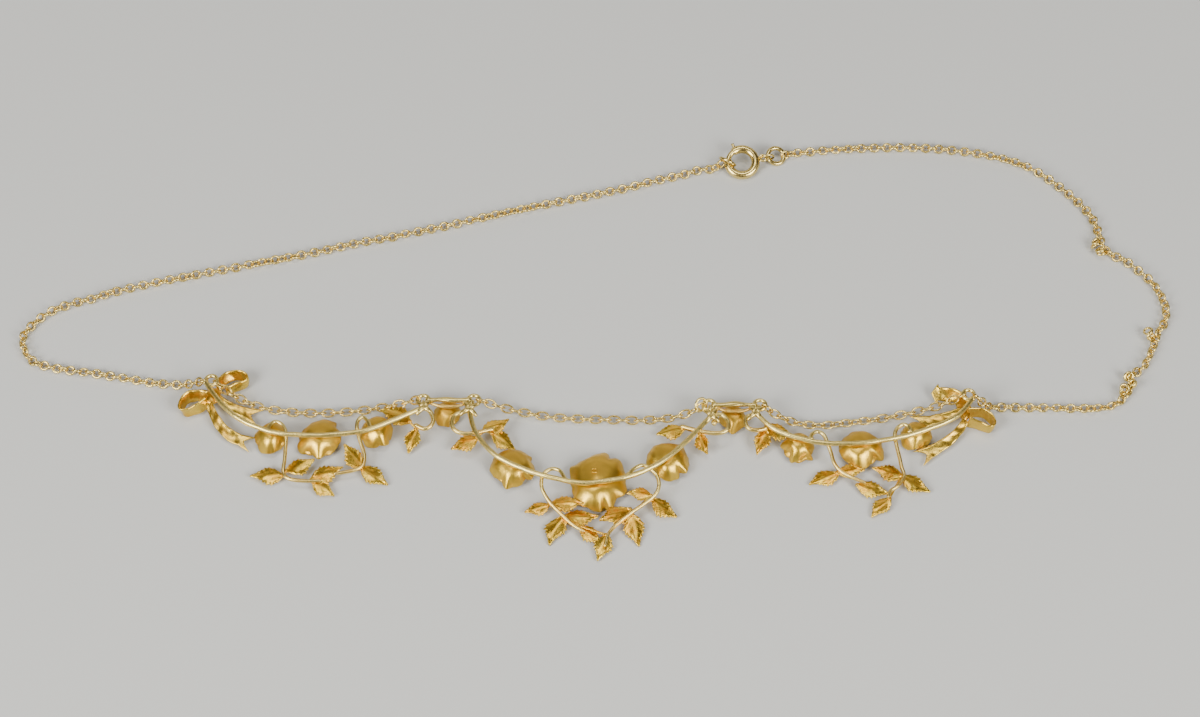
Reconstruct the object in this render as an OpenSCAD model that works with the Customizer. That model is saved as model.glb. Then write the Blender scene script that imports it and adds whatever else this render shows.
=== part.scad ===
// Festoon necklace lying face down, with its back up. Millimetres, +Z up.
// +X runs along the front panel and +Y points from the panel to the clasp.

/* [Wires] */
// Diameter of the three arc wires
arc_wire = 0.75; // [0.6:0.05:0.9]
// Diameter of the tendril and loop wires
tendril_wire = 0.55; // [0.4:0.05:0.65]
// Wire of the rings and eyes on the front panel
ring_wire = 0.5; // [0.4:0.05:0.55]
// Free space between pieces that touch on the real necklace
seat_gap = 0.1; // [0.08:0.01:0.14]

/* [Swags] */
// Length of a side swag from its end ring to its star
side_span = 33.6; // [32:0.2:36]
// Length of the centre swag from star to star
centre_span = 38.5; // [36:0.5:42]
// Unit depth of a side swag
side_drop = 20; // [19:0.2:22]
// Unit depth of the centre swag
centre_drop = 26; // [25:0.2:28]
// Height of the arc wires above the surface
arc_height = 3.6; // [3.4:0.05:4]
// Outer diameter of the rings at the outer ends
end_ring_d = 2.5; // [2.4:0.1:2.9]

/* [Bars] */
// Distance between the two eyes of a bar
bar_span = 8; // [7.4:0.1:9]
// Diameter of a bar
bar_d = 0.7; // [0.6:0.05:0.8]
// Outer diameter of a bar's eye
eye_d = 2.5; // [2.4:0.1:2.8]
// Outer diameter of the hanger loop on each star
hanger_d = 1.7; // [1.6:0.05:1.9]
// Wire of the hanger loops
hanger_wire = 0.4; // [0.35:0.05:0.45]

/* [Flowers] */
// Width of the large flower in the middle
main_flower_w = 9.2; // [8.6:0.2:10]
// Width of the two other flowers of the centre swag
centre_flower_w = 6.8; // [6.2:0.2:7.2]
// Width of the middle flower of a side swag
side_flower_w = 7.4; // [7:0.2:8]
// Width of the small flowers of a side swag
small_flower_w = 5; // [4.6:0.2:5.4]
// Width of the flower under a bar
bar_flower_w = 4.2; // [3.8:0.1:4.5]
// Thickness of the stamped flower sheet
flower_sheet = 0.32; // [0.25:0.01:0.4]

/* [Leaves] */
// Length of a full leaf
leaf_len = 4.8; // [4.2:0.1:5.2]
// Width of a full leaf
leaf_w = 2.9; // [2.5:0.1:3.2]
// Thickness of the leaf sheet
leaf_sheet = 0.28; // [0.22:0.01:0.32]
// Angle that each half of a leaf drops from the midrib
leaf_fold = 16; // [8:1:22]

/* [Bows] */
// Width of the bow ribbons
ribbon_w = 2; // [1.7:0.1:2.2]
// Thickness of the bow ribbons
ribbon_sheet = 0.3; // [0.25:0.01:0.36]

/* [Swag chains] */
// Outer length of an oval link
link_len = 2.1; // [2:0.05:2.3]
// Outer width of an oval link
link_w = 1.45; // [1.35:0.05:1.5]
// Wire of an oval link
link_wire = 0.28; // [0.24:0.01:0.3]

/* [Back chain] */
// Outer diameter of the round chain
chain_d = 1.4; // [1.2:0.05:1.6]

/* [Clasp] */
// Outer diameter of the bolt ring
bolt_ring_d = 6; // [5.8:0.1:6.6]
// Diameter of the bolt ring's hollow tube
bolt_tube_d = 1.4; // [1.3:0.05:1.45]
// Wall of the hollow tube
bolt_wall = 0.2; // [0.16:0.01:0.22]
// Running clearance round the bolt
bolt_clear = 0.06; // [0.05:0.01:0.08]
// Diameter of the bolt's thumb lug
lug_d = 0.5; // [0.4:0.05:0.6]
// Outer diameter of the ring that the bolt ring catches
catch_ring_d = 3.2; // [3.1:0.1:3.6]
// Outer diameter of the ring at the chain's end
chain_ring_d = 3.5; // [3.3:0.1:3.8]
// Wire of the ring that the bolt ring catches
catch_wire = 0.5; // [0.4:0.05:0.55]
// Wire of the ring at the chain's end
chain_ring_wire = 0.75; // [0.6:0.05:0.85]
// Wire of the small link and eyelet of the clasp
clasp_wire = 0.34; // [0.3:0.02:0.36]

/* [Hidden] */
// Place of the whole necklace, so that the origin is under the middle of its box
place = [0.6, -2.7, 0];

// Swag frames: left end x, left end y, span, unit depth
centre_swag = [-20.6, -12, centre_span, centre_drop];
star_shift = 0.7;
left_eye_y = -10.3;
right_eye_y = -11.2;
eye_z = arc_height * 0.87;
eye_cl = [centre_swag[0] + star_shift, left_eye_y, eye_z];
eye_cr = [centre_swag[0] + centre_span - star_shift, right_eye_y, eye_z];
eye_l = eye_cl - [bar_span, 0, 0];
eye_r = eye_cr + [bar_span, 0, 0];
left_swag = [eye_l[0] + 0.2 - side_span, -6.6, side_span, side_drop];
right_swag = [eye_r[0] - star_shift, -12.6, side_span, side_drop];

// Rows of along, down and height, as shares of span, unit depth and arc height
left_arc_rows = [
    [-0.035, 0.02, 0.95], [0.035, 0.2, 1], [0.105, 0.33, 1], [0.205, 0.44, 1], [0.34, 0.515, 1],
    [0.53, 0.53, 1], [0.72, 0.49, 1], [0.87, 0.38, 1], [1, 0.265, 1]
];
left_loop_rows = [
    [1, 0.27, 1], [1.03, 0.31, 0.97], [1.045, 0.385, 0.93], [1.03, 0.44, 0.9], [1, 0.455, 0.88],
    [0.965, 0.42, 0.86]
];
left_tendril_rows = [
    [0.285, 0.47, 0.98], [0.32, 0.355, 0.93], [0.36, 0.43, 0.86], [0.362, 0.69, 0.6], [0.355, 0.82, 0.42],
    [0.39, 0.875, 0.4], [0.525, 0.885, 0.4]
];
right_tendril_rows = [
    [0.775, 0.46, 0.98], [0.72, 0.355, 0.93], [0.695, 0.42, 0.86], [0.72, 0.595, 0.62], [0.73, 0.7, 0.46],
    [0.7, 0.765, 0.42], [0.595, 0.82, 0.4]
];
centre_arc_rows = [
    [0, 0.01, 1], [0.03, 0.18, 1], [0.11, 0.34, 1.02], [0.24, 0.455, 1.05], [0.425, 0.54, 1.07],
    [0.55, 0.535, 1.07], [0.7, 0.47, 1.05], [0.835, 0.325, 1.02], [0.99, 0.06, 1]
];
centre_loop_l_rows = [
    [-0.005, 0.02, 0.95], [-0.055, 0.045, 0.93], [-0.07, 0.105, 0.92], [-0.055, 0.155, 0.9],
    [-0.015, 0.178, 0.88], [0.03, 0.17, 0.86], [0.095, 0.14, 0.8]
];
centre_loop_r_rows = [
    [0.995, 0.05, 0.95], [1.035, 0.05, 0.94], [1.06, 0.105, 0.92], [1.05, 0.155, 0.9],
    [1.015, 0.175, 0.88], [0.975, 0.17, 0.86], [0.925, 0.15, 0.84], [0.87, 0.12, 0.8]
];
centre_tendril_l_rows = [
    [0.41, 0.53, 1.05], [0.365, 0.44, 0.99], [0.315, 0.47, 0.93], [0.3, 0.535, 0.84], [0.32, 0.615, 0.66],
    [0.38, 0.715, 0.5], [0.43, 0.79, 0.43], [0.47, 0.825, 0.4]
];
centre_tendril_r_rows = [
    [0.65, 0.495, 1.04], [0.71, 0.42, 0.99], [0.76, 0.45, 0.93], [0.772, 0.53, 0.84], [0.745, 0.615, 0.66],
    [0.675, 0.69, 0.52], [0.61, 0.775, 0.45], [0.57, 0.845, 0.42], [0.555, 0.925, 0.4]
];
right_arc_rows = [
    [0, 0.02, 1], [0.09, 0.18, 1], [0.25, 0.285, 1], [0.405, 0.31, 1], [0.585, 0.28, 1],
    [0.775, 0.19, 1], [0.935, 0.055, 1], [1.02, -0.12, 0.95]
];
right_loop_rows = [
    [0, 0.03, 0.95], [-0.04, 0.05, 0.93], [-0.05, 0.1, 0.92], [-0.035, 0.155, 0.9], [0.005, 0.17, 0.88],
    [0.045, 0.15, 0.85]
];
right_tendril_l_rows = [
    [0.245, 0.28, 0.98], [0.285, 0.175, 0.92], [0.32, 0.215, 0.86], [0.35, 0.375, 0.62], [0.368, 0.47, 0.48],
    [0.42, 0.535, 0.43], [0.495, 0.6, 0.4]
];
right_tendril_r_rows = [
    [0.72, 0.215, 0.98], [0.685, 0.12, 0.92], [0.65, 0.165, 0.86], [0.66, 0.31, 0.68], [0.67, 0.46, 0.52],
    [0.68, 0.55, 0.44], [0.65, 0.63, 0.41], [0.615, 0.675, 0.4], [0.6, 0.73, 0.4]
];

// Flowers: along, down, width, long side as a share of the width, turn
left_flowers = [[0.29, 0.47, small_flower_w, 1.05, 10], [0.512, 0.49, side_flower_w, 0.95, 0],
    [0.78, 0.42, small_flower_w, 1.08, 30]];
centre_flowers = [[0.18, 0.375, centre_flower_w, 1, -12], [0.52, 0.475, main_flower_w, 1.1, 0],
    [0.81, 0.325, centre_flower_w, 1, 20]];
right_flowers = [[0.195, 0.275, small_flower_w, 1.12, 0], [0.485, 0.275, side_flower_w, 0.95, 15],
    [0.748, 0.15, small_flower_w, 1, -20]];

// Leaves: root along and down, height of the root, direction, length share, slope
left_outer_leaves = [[0.345, 0.815, 0.29, 181, 0.95, 3], [0.368, 0.78, 0.29, 18, 0.9, -9]];
left_middle_leaves = [[0.49, 0.855, 0.29, 24, 0.98, -3], [0.495, 0.885, 0.29, -30, 0.78, 6]];
left_inner_leaves = [[0.715, 0.745, 0.3, 128, 0.88, -18], [0.715, 0.755, 0.28, -34, 0.96, 6]];
left_joint_leaves = [[0.93, 0.36, 0.66, 146, 1.08, 10], [0.965, 0.425, 0.62, -110, 0.78, 24]];
centre_left_leaves = [[0.325, 0.64, 0.36, 196, 0.72, 8], [0.345, 0.635, 0.42, 2, 0.9, -6],
    [0.385, 0.72, 0.36, -118, 0.98, 10]];
centre_low_leaves = [[0.4, 0.715, 0.3, -6, 0.95, -8], [0.455, 0.79, 0.34, -36, 0.8, 9],
    [0.56, 0.845, 0.32, -106, 0.92, 8]];
centre_right_leaves = [[0.66, 0.71, 0.38, -76, 1.02, 11], [0.655, 0.675, 0.42, 205, 1, -5],
    [0.745, 0.61, 0.46, -36, 0.9, 14], [0.74, 0.585, 0.5, 166, 0.72, 4]];
centre_joint_l_leaves = [[0.035, 0.19, 0.7, 200, 0.86, 14], [0.065, 0.14, 0.72, 30, 0.86, 6],
    [0.095, 0.15, 0.64, -28, 0.88, 17]];
centre_joint_r_leaves = [[0.875, 0.12, 0.66, 180, 0.85, 17], [0.94, 0.16, 0.72, -72, 0.68, 22]];
right_left_leaves = [[0.37, 0.505, 0.32, 200, 0.9, 8], [0.375, 0.5, 0.34, 8, 0.8, -4]];
right_middle_leaves = [[0.465, 0.61, 0.29, -16, 0.95, 5]];
right_right_leaves = [[0.607, 0.735, 0.29, -136, 0.8, 8], [0.67, 0.535, 0.34, 160, 0.9, -4],
    [0.675, 0.545, 0.34, -32, 0.92, 8]];
right_joint_leaves = [[0.045, 0.145, 0.68, -112, 0.8, 20], [0.05, 0.1, 0.6, -14, 0.9, 17]];

// Bow ribbons: along, down, height, roll from lying flat
left_bow_outer = [[-0.02, 0.1, 0.5, 50], [-0.07, 0.03, 0.42, 58], [-0.125, 0.045, 0.36, 62],
    [-0.165, 0.13, 0.33, 66], [-0.145, 0.21, 0.33, 62], [-0.03, 0.2, 0.45, 50]];
left_bow_inner = [[0.005, 0.06, 0.5, 46], [0.055, -0.05, 0.36, 58], [0.1, -0.125, 0.31, 64],
    [0.142, -0.115, 0.31, 64], [0.163, -0.045, 0.31, 62], [0.135, 0.015, 0.32, 58]];
left_bow_low_tail = [[-0.02, 0.16, 0.5, 22], [0.02, 0.29, 0.44, 24], [0.07, 0.41, 0.34, 20],
    [0.145, 0.48, 0.2, 6]];
left_bow_top_tail = [[0.02, 0.105, 0.45, 10], [0.07, 0.19, 0.36, 10], [0.165, 0.25, 0.2, 4]];
right_bow_outer = [[0.995, -0.02, 0.5, -50], [1.04, -0.07, 0.42, -60], [1.1, -0.06, 0.36, -64],
    [1.135, 0.03, 0.33, -66], [1.12, 0.12, 0.33, -62], [1, 0.065, 0.48, -50]];
right_bow_inner = [[0.975, -0.06, 0.46, -20], [0.95, -0.19, 0.4, -26], [0.9, -0.255, 0.36, -30],
    [0.855, -0.22, 0.34, -20]];
right_bow_low_tail = [[0.985, 0.03, 0.48, -24], [0.965, 0.14, 0.42, -28], [0.9, 0.255, 0.3, -20],
    [0.82, 0.325, 0.2, -6]];
right_bow_top_tail = [[0.975, -0.03, 0.5, -14], [0.9, 0, 0.38, -14], [0.85, 0.005, 0.3, -6]];

// Middle points of the swag chains, as shares; their ends hook into the rings
left_chain_rows = [[0.085, 0.09, 0.6], [0.18, 0.155, 0.33], [0.27, 0.195, 0.23], [0.4, 0.225, 0.23],
    [0.55, 0.228, 0.23], [0.7, 0.205, 0.23], [0.83, 0.18, 0.36], [0.925, 0.172, 0.64]];
centre_chain_rows = [[0.09, -0.062, 0.6], [0.185, -0.042, 0.3], [0.32, -0.005, 0.23], [0.45, 0.012, 0.23],
    [0.58, 0.018, 0.23], [0.71, 0.022, 0.23], [0.82, 0.012, 0.3], [0.91, -0.006, 0.6]];
right_chain_rows = [[0.1, -0.01, 0.6], [0.2, 0.035, 0.3], [0.32, 0.045, 0.23], [0.45, 0.02, 0.23],
    [0.6, -0.02, 0.23], [0.74, -0.07, 0.27], [0.85, -0.11, 0.4], [0.94, -0.15, 0.66]];

// Back chain routes on the surface, chosen by hand, from the panel to the clasp
left_route = [
    [-67, -5.7], [-70.5, -5.4], [-74, -4.8], [-77.5, -4.1], [-81, -3.4], [-84.5, -2.9], [-88, -2.2],
    [-90.8, -1.1], [-92.4, 1], [-93, 3.6], [-91.8, 6], [-89.5, 8.4], [-86.5, 10.1], [-83, 11.2],
    [-79.5, 12.6], [-75, 13.9], [-70, 15.2], [-65, 16.4], [-60, 17.6], [-55, 18.8], [-50, 20], [-45, 21.3],
    [-40, 22.7], [-35, 23.8], [-30, 25.1], [-25, 26.4], [-20, 27.8], [-15, 29.2], [-10, 30.5], [-5, 31.8],
    [0, 33], [5, 34.4], [10, 36], [14, 37.1], [17, 38.2]
];
right_route = [
    [62, -9.9], [66, -10], [70, -10.1], [74, -10.2], [78, -10.2], [81, -9.8], [83.2, -8.2], [84.6, -6],
    [84.8, -4], [86.8, -2.4], [88.2, 0], [89.2, 2.4], [90.2, 4.8], [91.5, 7], [91.8, 9.6], [91.2, 12.2],
    [90, 14.8], [88.2, 17], [86, 19.2], [83.6, 20.6], [82.6, 23], [82.2, 25.6], [81.4, 28.4], [79.6, 31.2],
    [77.4, 33.8], [75, 36.2], [72, 38.5], [69, 40], [65.5, 41.1], [61.5, 42], [57, 42.6], [52.5, 42.9],
    [48, 42.9], [43.5, 42.7], [39, 42.4], [35.5, 42]
];
chain_sides = 8;

// Link between the right end ring and the back chain: size, way out, fall and lean
end_link_d = 2.6;
end_link_wire = 0.4;
end_link_way = [1, 0.05, 0];
end_link_fall = 0.6;
end_link_lean = 0.1;

// Places of the back chain's ends beside the edges of the rings that hold them
left_start_offset = [-0.25, 0.2, -0.35];
left_end_offset = [-0.2, -0.6, -0.5];
right_start_offset = [2.1, -0.7, -1.6];
right_end_offset = [0.3, 0.4, -0.1];

// Solder and joints: reach of a star's points and the turn of each star
star_reach = 0.85;
left_star_turn = 50;
centre_star_turns = [30, 60];
right_star_turn = 40;
bead_r = tendril_wire * 0.62;
arc_sides = 6;
wire_sides = 5;
arc_steps = 2;
loop_steps = 1;
chain_steps = 3;
frame_ring_sides = 12;
left_ring_way = [0.95, 0.31, 0];
right_ring_way = [-0.6, 0.8, 0];
hanger_sides = 10;
link_sides = 10;
link_wire_sides = 5;
link_gap = 0.13;
hook_space = 0.12;
petal_steps = 15;
large_petal_steps = 25;
knot_d = 0.9;

// Flower under a bar: how far nearer than the bar it lies, and its long side as a share of its width
bar_flower_near = 1.1;
bar_flower_long = 1.1;

// Outline of a swallowtail along and across its ribbon, as shares of the ribbon's width
fork_outline = [[-0.2, -0.42], [1.05, -0.6], [0.5, 0.02], [1, 0.62], [-0.2, 0.42]];

// Clasp
ring_r = (bolt_ring_d - bolt_tube_d) / 2;
tube_r = bolt_tube_d / 2;
bolt_r = tube_r - bolt_wall - bolt_clear;
bolt_ring_tilt = 20;
bolt_ring_z = tube_r + ring_r * sin(bolt_ring_tilt);
bolt_ring_at = [23.8, 39.1, bolt_ring_z];
lug_angle = 116;
mouth_from = 128;
mouth_to = 172;
bolt_travel = 48;
bolt_tail = 24;
bolt_nose = 6;
eyelet_angle = 12;
eyelet_d = 1.4;
eyelet_seat = 0.12;
eyelet_r = ring_r + tube_r + eyelet_d / 2 - eyelet_seat;
eyelet_at = bolt_ring_at + [eyelet_r * cos(eyelet_angle), eyelet_r * sin(eyelet_angle) * cos(bolt_ring_tilt),
    eyelet_r * sin(eyelet_angle) * sin(bolt_ring_tilt)];
catch_ring_at = bolt_ring_at + [-ring_r - 0.1, 0, 0.16];
catch_ring_normal = [0.45, 0.75, 0.48];
chain_ring_tilt = [20, 12];
chain_ring_r = (chain_ring_d - chain_ring_wire) / 2;
chain_ring_rise = chain_ring_r * sqrt(1 - pow(cos(chain_ring_tilt[0]) * cos(chain_ring_tilt[1]), 2));
chain_ring_at = [29.6, 40.9, chain_ring_wire / 2 + chain_ring_rise];
clasp_link_lean = [0.3, -0.75, -0.45];

// Point of a swag from a row of shares
function at(swag, row) =
    [swag[0] + row[0] * swag[2], swag[1] - row[1] * swag[3], row[2] * arc_height];

function route(swag, rows) = [for (row = rows) at(swag, row)];

function unit(v) = v / norm(v);

// Turn that points +Z along n
function facing(n) = [0, acos(n[2] / norm(n)), atan2(n[1], n[0])];

// Catmull-Rom point between b and c at t
function curve_point(a, b, c, d, t) =
    0.5 * (2 * b + (c - a) * t + (2 * a - 5 * b + 4 * c - d) * t * t + (3 * b - a - 3 * c + d) * t * t * t);

// Smooth curve through the points, with some steps in each stretch
function smooth(p, steps) = let (last = len(p) - 1) [
    for (i = [0:last - 1], k = [0:steps - 1])
        curve_point(p[max(i - 1, 0)], p[i], p[i + 1], p[min(i + 2, last)], k / steps),
    p[last]
];

function direction(p, i) = unit(p[min(i + 1, len(p) - 1)] - p[max(i - 1, 0)]);

function across(t) = unit(cross([0, 0, 1], t));

// Length of a curve up to point i
function run(p, i) = i == 0 ? 0 : run(p, i - 1) + norm(p[i] - p[i - 1]);

// Point at a distance s along a curve whose runs are known
function along(p, runs, s, i = 0) =
    i >= len(p) - 2 || s <= runs[i + 1]
        ? p[i] + (p[i + 1] - p[i]) * (s - runs[i]) / (runs[i + 1] - runs[i])
        : along(p, runs, s, i + 1);

// Closed skin over rings of points that run along a path
module skin(rings) {
    n = len(rings[0]);
    last = len(rings) - 1;
    first_cap = [for (j = [0:n - 1]) j];
    last_cap = [for (j = [n - 1:-1:0]) last * n + j];
    sides = [for (i = [0:last - 1], j = [0:n - 1])
        let (k = (j + 1) % n)
            [i * n + j, (i + 1) * n + j, (i + 1) * n + k, i * n + k]];
    points = [for (r = rings, q = r) q];
    polyhedron(points = points, faces = concat([first_cap], sides, [last_cap]), convexity = 4);
}

// Round wire swept along the points
module wire(p, d, sides) {
    skin([for (i = [0:len(p) - 1])
        let (t = direction(p, i), x = across(t), y = cross(t, x))
            [for (j = [0:sides - 1])
                let (a = 360 * j / sides)
                    p[i] + d / 2 * (cos(a) * x + sin(a) * y)]]);
}

// Plain ring in the XY plane
module ring(outer_d, wire_d, around, section) {
    rotate_extrude($fn = around)
        translate([(outer_d - wire_d) / 2, 0])
            circle(d = wire_d, $fn = section);
}

// Solder bead
module bead(p, r) {
    translate(p) sphere(r = r, $fn = 6);
}

// Four-pointed star of solder
module star(p, turn) {
    n = 8;
    half = arc_wire * 0.6;
    rim = [for (j = [0:n - 1])
        let (a = turn + 360 * j / n, r = j % 2 == 0 ? star_reach : arc_wire * 0.5)
            p + r * [cos(a), sin(a), 0]];
    top = [for (j = [0:n - 1]) [n, (j + 1) % n, j]];
    under = [for (j = [0:n - 1]) [n + 1, j, (j + 1) % n]];
    polyhedron(points = concat(rim, [p + [0, 0, half], p - [0, 0, half]]), faces = concat(top, under));
}

// Upright loop on a star that holds the near side of a bar's eye
module hanger(star_at, eye_at) {
    out = unit([eye_at[0] - star_at[0], eye_at[1] - star_at[1], 0]);
    seat = eye_at - out * (eye_d - ring_wire) / 2;
    translate(seat)
        rotate([0, 0, atan2(out[1], out[0])])
            rotate([90, 0, 0])
                ring(hanger_d, hanger_wire, hanger_sides, wire_sides);
    wire([star_at, seat - out * (hanger_d - hanger_wire) / 2], hanger_wire * 1.1, wire_sides);
}

module arc(swag, rows) {
    wire(smooth(route(swag, rows), arc_steps), arc_wire, arc_sides);
}

module tendril(swag, rows) {
    wire(smooth(route(swag, rows), loop_steps), tendril_wire, wire_sides);
}

module left_frame() {
    color("khaki") translate(place) {
        star_at = at(left_swag, left_arc_rows[8]);
        ring_at = left_ring();
        arc(left_swag, left_arc_rows);
        tendril(left_swag, left_loop_rows);
        tendril(left_swag, left_tendril_rows);
        tendril(left_swag, right_tendril_rows);
        translate(ring_at) ring(end_ring_d, ring_wire, frame_ring_sides, wire_sides);
        bead(at(left_swag, left_arc_rows[0]), bead_r * 1.2);
        bead(at(left_swag, left_tendril_rows[0]), bead_r);
        bead(at(left_swag, right_tendril_rows[0]), bead_r);
        star(star_at, left_star_turn);
        hanger(star_at, eye_l);
    }
}

module centre_frame() {
    color("khaki") translate(place) {
        star_l = at(centre_swag, centre_arc_rows[0]);
        star_r = at(centre_swag, centre_arc_rows[8]);
        arc(centre_swag, centre_arc_rows);
        for (rows = [centre_loop_l_rows, centre_loop_r_rows, centre_tendril_l_rows, centre_tendril_r_rows])
            tendril(centre_swag, rows);
        bead(at(centre_swag, centre_tendril_l_rows[0]), bead_r);
        bead(at(centre_swag, centre_tendril_r_rows[0]), bead_r);
        star(star_l, centre_star_turns[0]);
        star(star_r, centre_star_turns[1]);
        hanger(star_l, eye_cl);
        hanger(star_r, eye_cr);
    }
}

module right_frame() {
    color("khaki") translate(place) {
        star_at = at(right_swag, right_arc_rows[0]);
        arc(right_swag, right_arc_rows);
        tendril(right_swag, right_loop_rows);
        tendril(right_swag, right_tendril_l_rows);
        tendril(right_swag, right_tendril_r_rows);
        translate(right_ring()) ring(end_ring_d, ring_wire, frame_ring_sides, wire_sides);
        bead(at(right_swag, right_arc_rows[7]), bead_r * 1.2);
        bead(at(right_swag, right_tendril_l_rows[0]), bead_r);
        bead(at(right_swag, right_tendril_r_rows[0]), bead_r);
        star(star_at, right_star_turn);
        hanger(star_at, eye_r);
    }
}

// Centres of the end rings, each soldered to the outer end of its arc wire
function left_ring() = at(left_swag, left_arc_rows[0]) + (end_ring_d - ring_wire) / 2 * left_ring_way;
function right_ring() = at(right_swag, right_arc_rows[7]) + (end_ring_d - ring_wire) / 2 * right_ring_way;

// Half outline of a serrated leaf, as shares of length and half width
leaf_edge = [[0, 0.12], [0.1, 0.5], [0.2, 0.6], [0.25, 0.98], [0.36, 0.72], [0.44, 1],
    [0.55, 0.66], [0.64, 0.82], [0.76, 0.4], [0.84, 0.44], [1, 0]];

// Leaf along +X, folded down on both sides of its midrib; share scales its outline
module leaf(share) {
    for (side = [-1, 1])
        rotate([-side * leaf_fold, 0, 0])
            translate([0, 0, -leaf_sheet])
                linear_extrude(leaf_sheet)
                    polygon(concat([[0, 0]], [for (e = leaf_edge)
                        share * [e[0] * leaf_len, side * e[1] * leaf_w / 2]]));
}

module leaves(swag, rows) {
    color("goldenrod") translate(place)
        for (r = rows)
            translate(at(swag, r)) rotate([0, r[5], r[3]]) leaf(r[4]);
}

// Radius share and height of a domed flower at an angle and a share of its radius
function petal_r(a) = 1 - 0.13 * pow(abs(sin(2.5 * a)), 3) + 0.05 * cos(3 * a + 40);
function petal_z(a, s) = -pow(s, 2) * 0.5 - 0.12 * pow(s, 4) * (1 + cos(5 * a + 30));

// Domed back with five lobed petals, of an even sheet
module petals(w, l, crown) {
    shares = [0.62, 1];
    n = w > side_flower_w + 1 ? large_petal_steps : petal_steps;
    ring_points = [for (under = [0, 1], s = shares, j = [0:n - 1])
        let (a = 360 * j / n, r = petal_r(a) * s)
            [w / 2 * r * cos(a), l / 2 * r * sin(a), crown * (1 + petal_z(a, s)) - under * flower_sheet]];
    points = concat(ring_points, [[0, 0, crown], [0, 0, crown - flower_sheet]]);
    top = 4 * n;
    top_fan = [for (j = [0:n - 1]) [top, (j + 1) % n, j]];
    under_fan = [for (j = [0:n - 1]) [top + 1, 2 * n + j, 2 * n + (j + 1) % n]];
    top_skin = [for (j = [0:n - 1]) [j, (j + 1) % n, n + (j + 1) % n, n + j]];
    under_skin = [for (j = [0:n - 1]) [2 * n + (j + 1) % n, 2 * n + j, 3 * n + j, 3 * n + (j + 1) % n]];
    rim = [for (j = [0:n - 1]) [n + j, n + (j + 1) % n, 3 * n + (j + 1) % n, 3 * n + j]];
    polyhedron(points = points, faces = concat(top_fan, under_fan, top_skin, under_skin, rim), convexity = 4);
}

// Rose heart: radius as a share of half the width, and height as a share of its depth
heart_rows = [[0.26, 0.95], [0.6, 0.36], [0.5, 0]];
heart_sides = 8;

// Rose heart soldered under the dome, down to the surface: a cup with a crumpled rim
module heart(w, crown) {
    n = heart_sides;
    rows = heart_rows;
    depth = crown - flower_sheet;
    points = concat([for (row = rows, j = [0:n - 1])
        let (a = 360 * j / n, r = w / 2 * row[0] * (1 + 0.12 * cos(4 * a) * (1 - row[1])))
            [r * cos(a), r * sin(a), row[1] * depth]],
        [[0, 0, depth + flower_sheet / 3], [0, 0, 0.2 * depth]]);
    top = [for (j = [0:n - 1]) [3 * n, (j + 1) % n, j]];
    skin = [for (k = [0, 1], j = [0:n - 1])
        [k * n + j, k * n + (j + 1) % n, (k + 1) * n + (j + 1) % n, (k + 1) * n + j]];
    under = [for (j = [0:n - 1]) [3 * n + 1, 2 * n + j, 2 * n + (j + 1) % n]];
    polyhedron(points = points, faces = concat(top, skin, under), convexity = 4);
}

module flower(swag, row, lift) {
    crown = lift - seat_gap;
    color("gold") translate(place) translate([swag[0] + row[0] * swag[2], swag[1] - row[1] * swag[3], 0])
        rotate(row[4]) {
            petals(row[2], row[2] * row[3], crown);
            heart(row[2], crown);
        }
}

module swag_flower(swag, row, share) {
    flower(swag, row, arc_height * share - arc_wire / 2);
}

// Bar with an eye at each end and a bowed wire beside it
module bar(eye_a, eye_b, top) {
    eye_r_mean = (eye_d - ring_wire) / 2;
    bow_r = bar_span * 1.1;
    half = asin((bar_span / 2 - eye_r_mean * 0.75) / bow_r);
    color("khaki") translate(place) {
        for (e = [eye_a, eye_b])
            translate(e) ring(eye_d, ring_wire, 48, 32);
        translate(eye_a + [eye_r_mean, 0, 0])
            rotate([0, 90, 0])
                cylinder(d = bar_d, h = bar_span - 2 * eye_r_mean, $fn = 32);
        translate((eye_a + eye_b) / 2 + [0, bow_r * cos(half) - eye_r_mean * 0.4, 0])
            rotate(-90 - half)
                rotate_extrude(angle = 2 * half, $fn = 96)
                    translate([bow_r, 0])
                        circle(d = ring_wire * 0.8, $fn = 32);
    }
}

// Flower under a bar, with a pointed petal towards the front of the panel
module bar_flower(eye_a, eye_b) {
    middle = (eye_a + eye_b) / 2;
    row = [middle[0], bar_flower_near - middle[1], bar_flower_w, bar_flower_long, -90];
    flower([0, 0, 1, 1], row, eye_z - bar_d / 2);
}

// Axes of a ribbon at a point of its route: along, across and square to its face
function ribbon_axes(p, i, roll) =
    let (t = direction(p, i), x = across(t), b = cos(roll) * x + sin(roll) * cross(t, x))
        [t, b, cross(t, b)];

module ribbon(p, rows, w) {
    skin([for (i = [0:len(p) - 1])
        let (axes = ribbon_axes(p, i, rows[i][3]))
            [for (c = [[-1, -1], [1, -1], [1, 1], [-1, 1]])
                p[i] + c[0] * w / 2 * axes[1] + c[1] * ribbon_sheet / 2 * axes[2]]]);
}

// Swallowtail at the end of a ribbon, rooted a little inside it
module fork(p, rows, w) {
    last = len(p) - 1;
    axes = ribbon_axes(p, last, rows[last][3]);
    points = [for (face = [-0.44, 0.44], c = fork_outline)
        p[last] + w * (c[0] * axes[0] + c[1] * axes[1]) + face * ribbon_sheet * axes[2]];
    n = len(fork_outline);
    under = [for (j = [0:n - 1]) j];
    top = [for (j = [n - 1:-1:0]) n + j];
    sides = [for (j = [0:n - 1]) [j, n + j, n + (j + 1) % n, (j + 1) % n]];
    polyhedron(points = points, faces = concat([under, top], sides));
}

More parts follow.
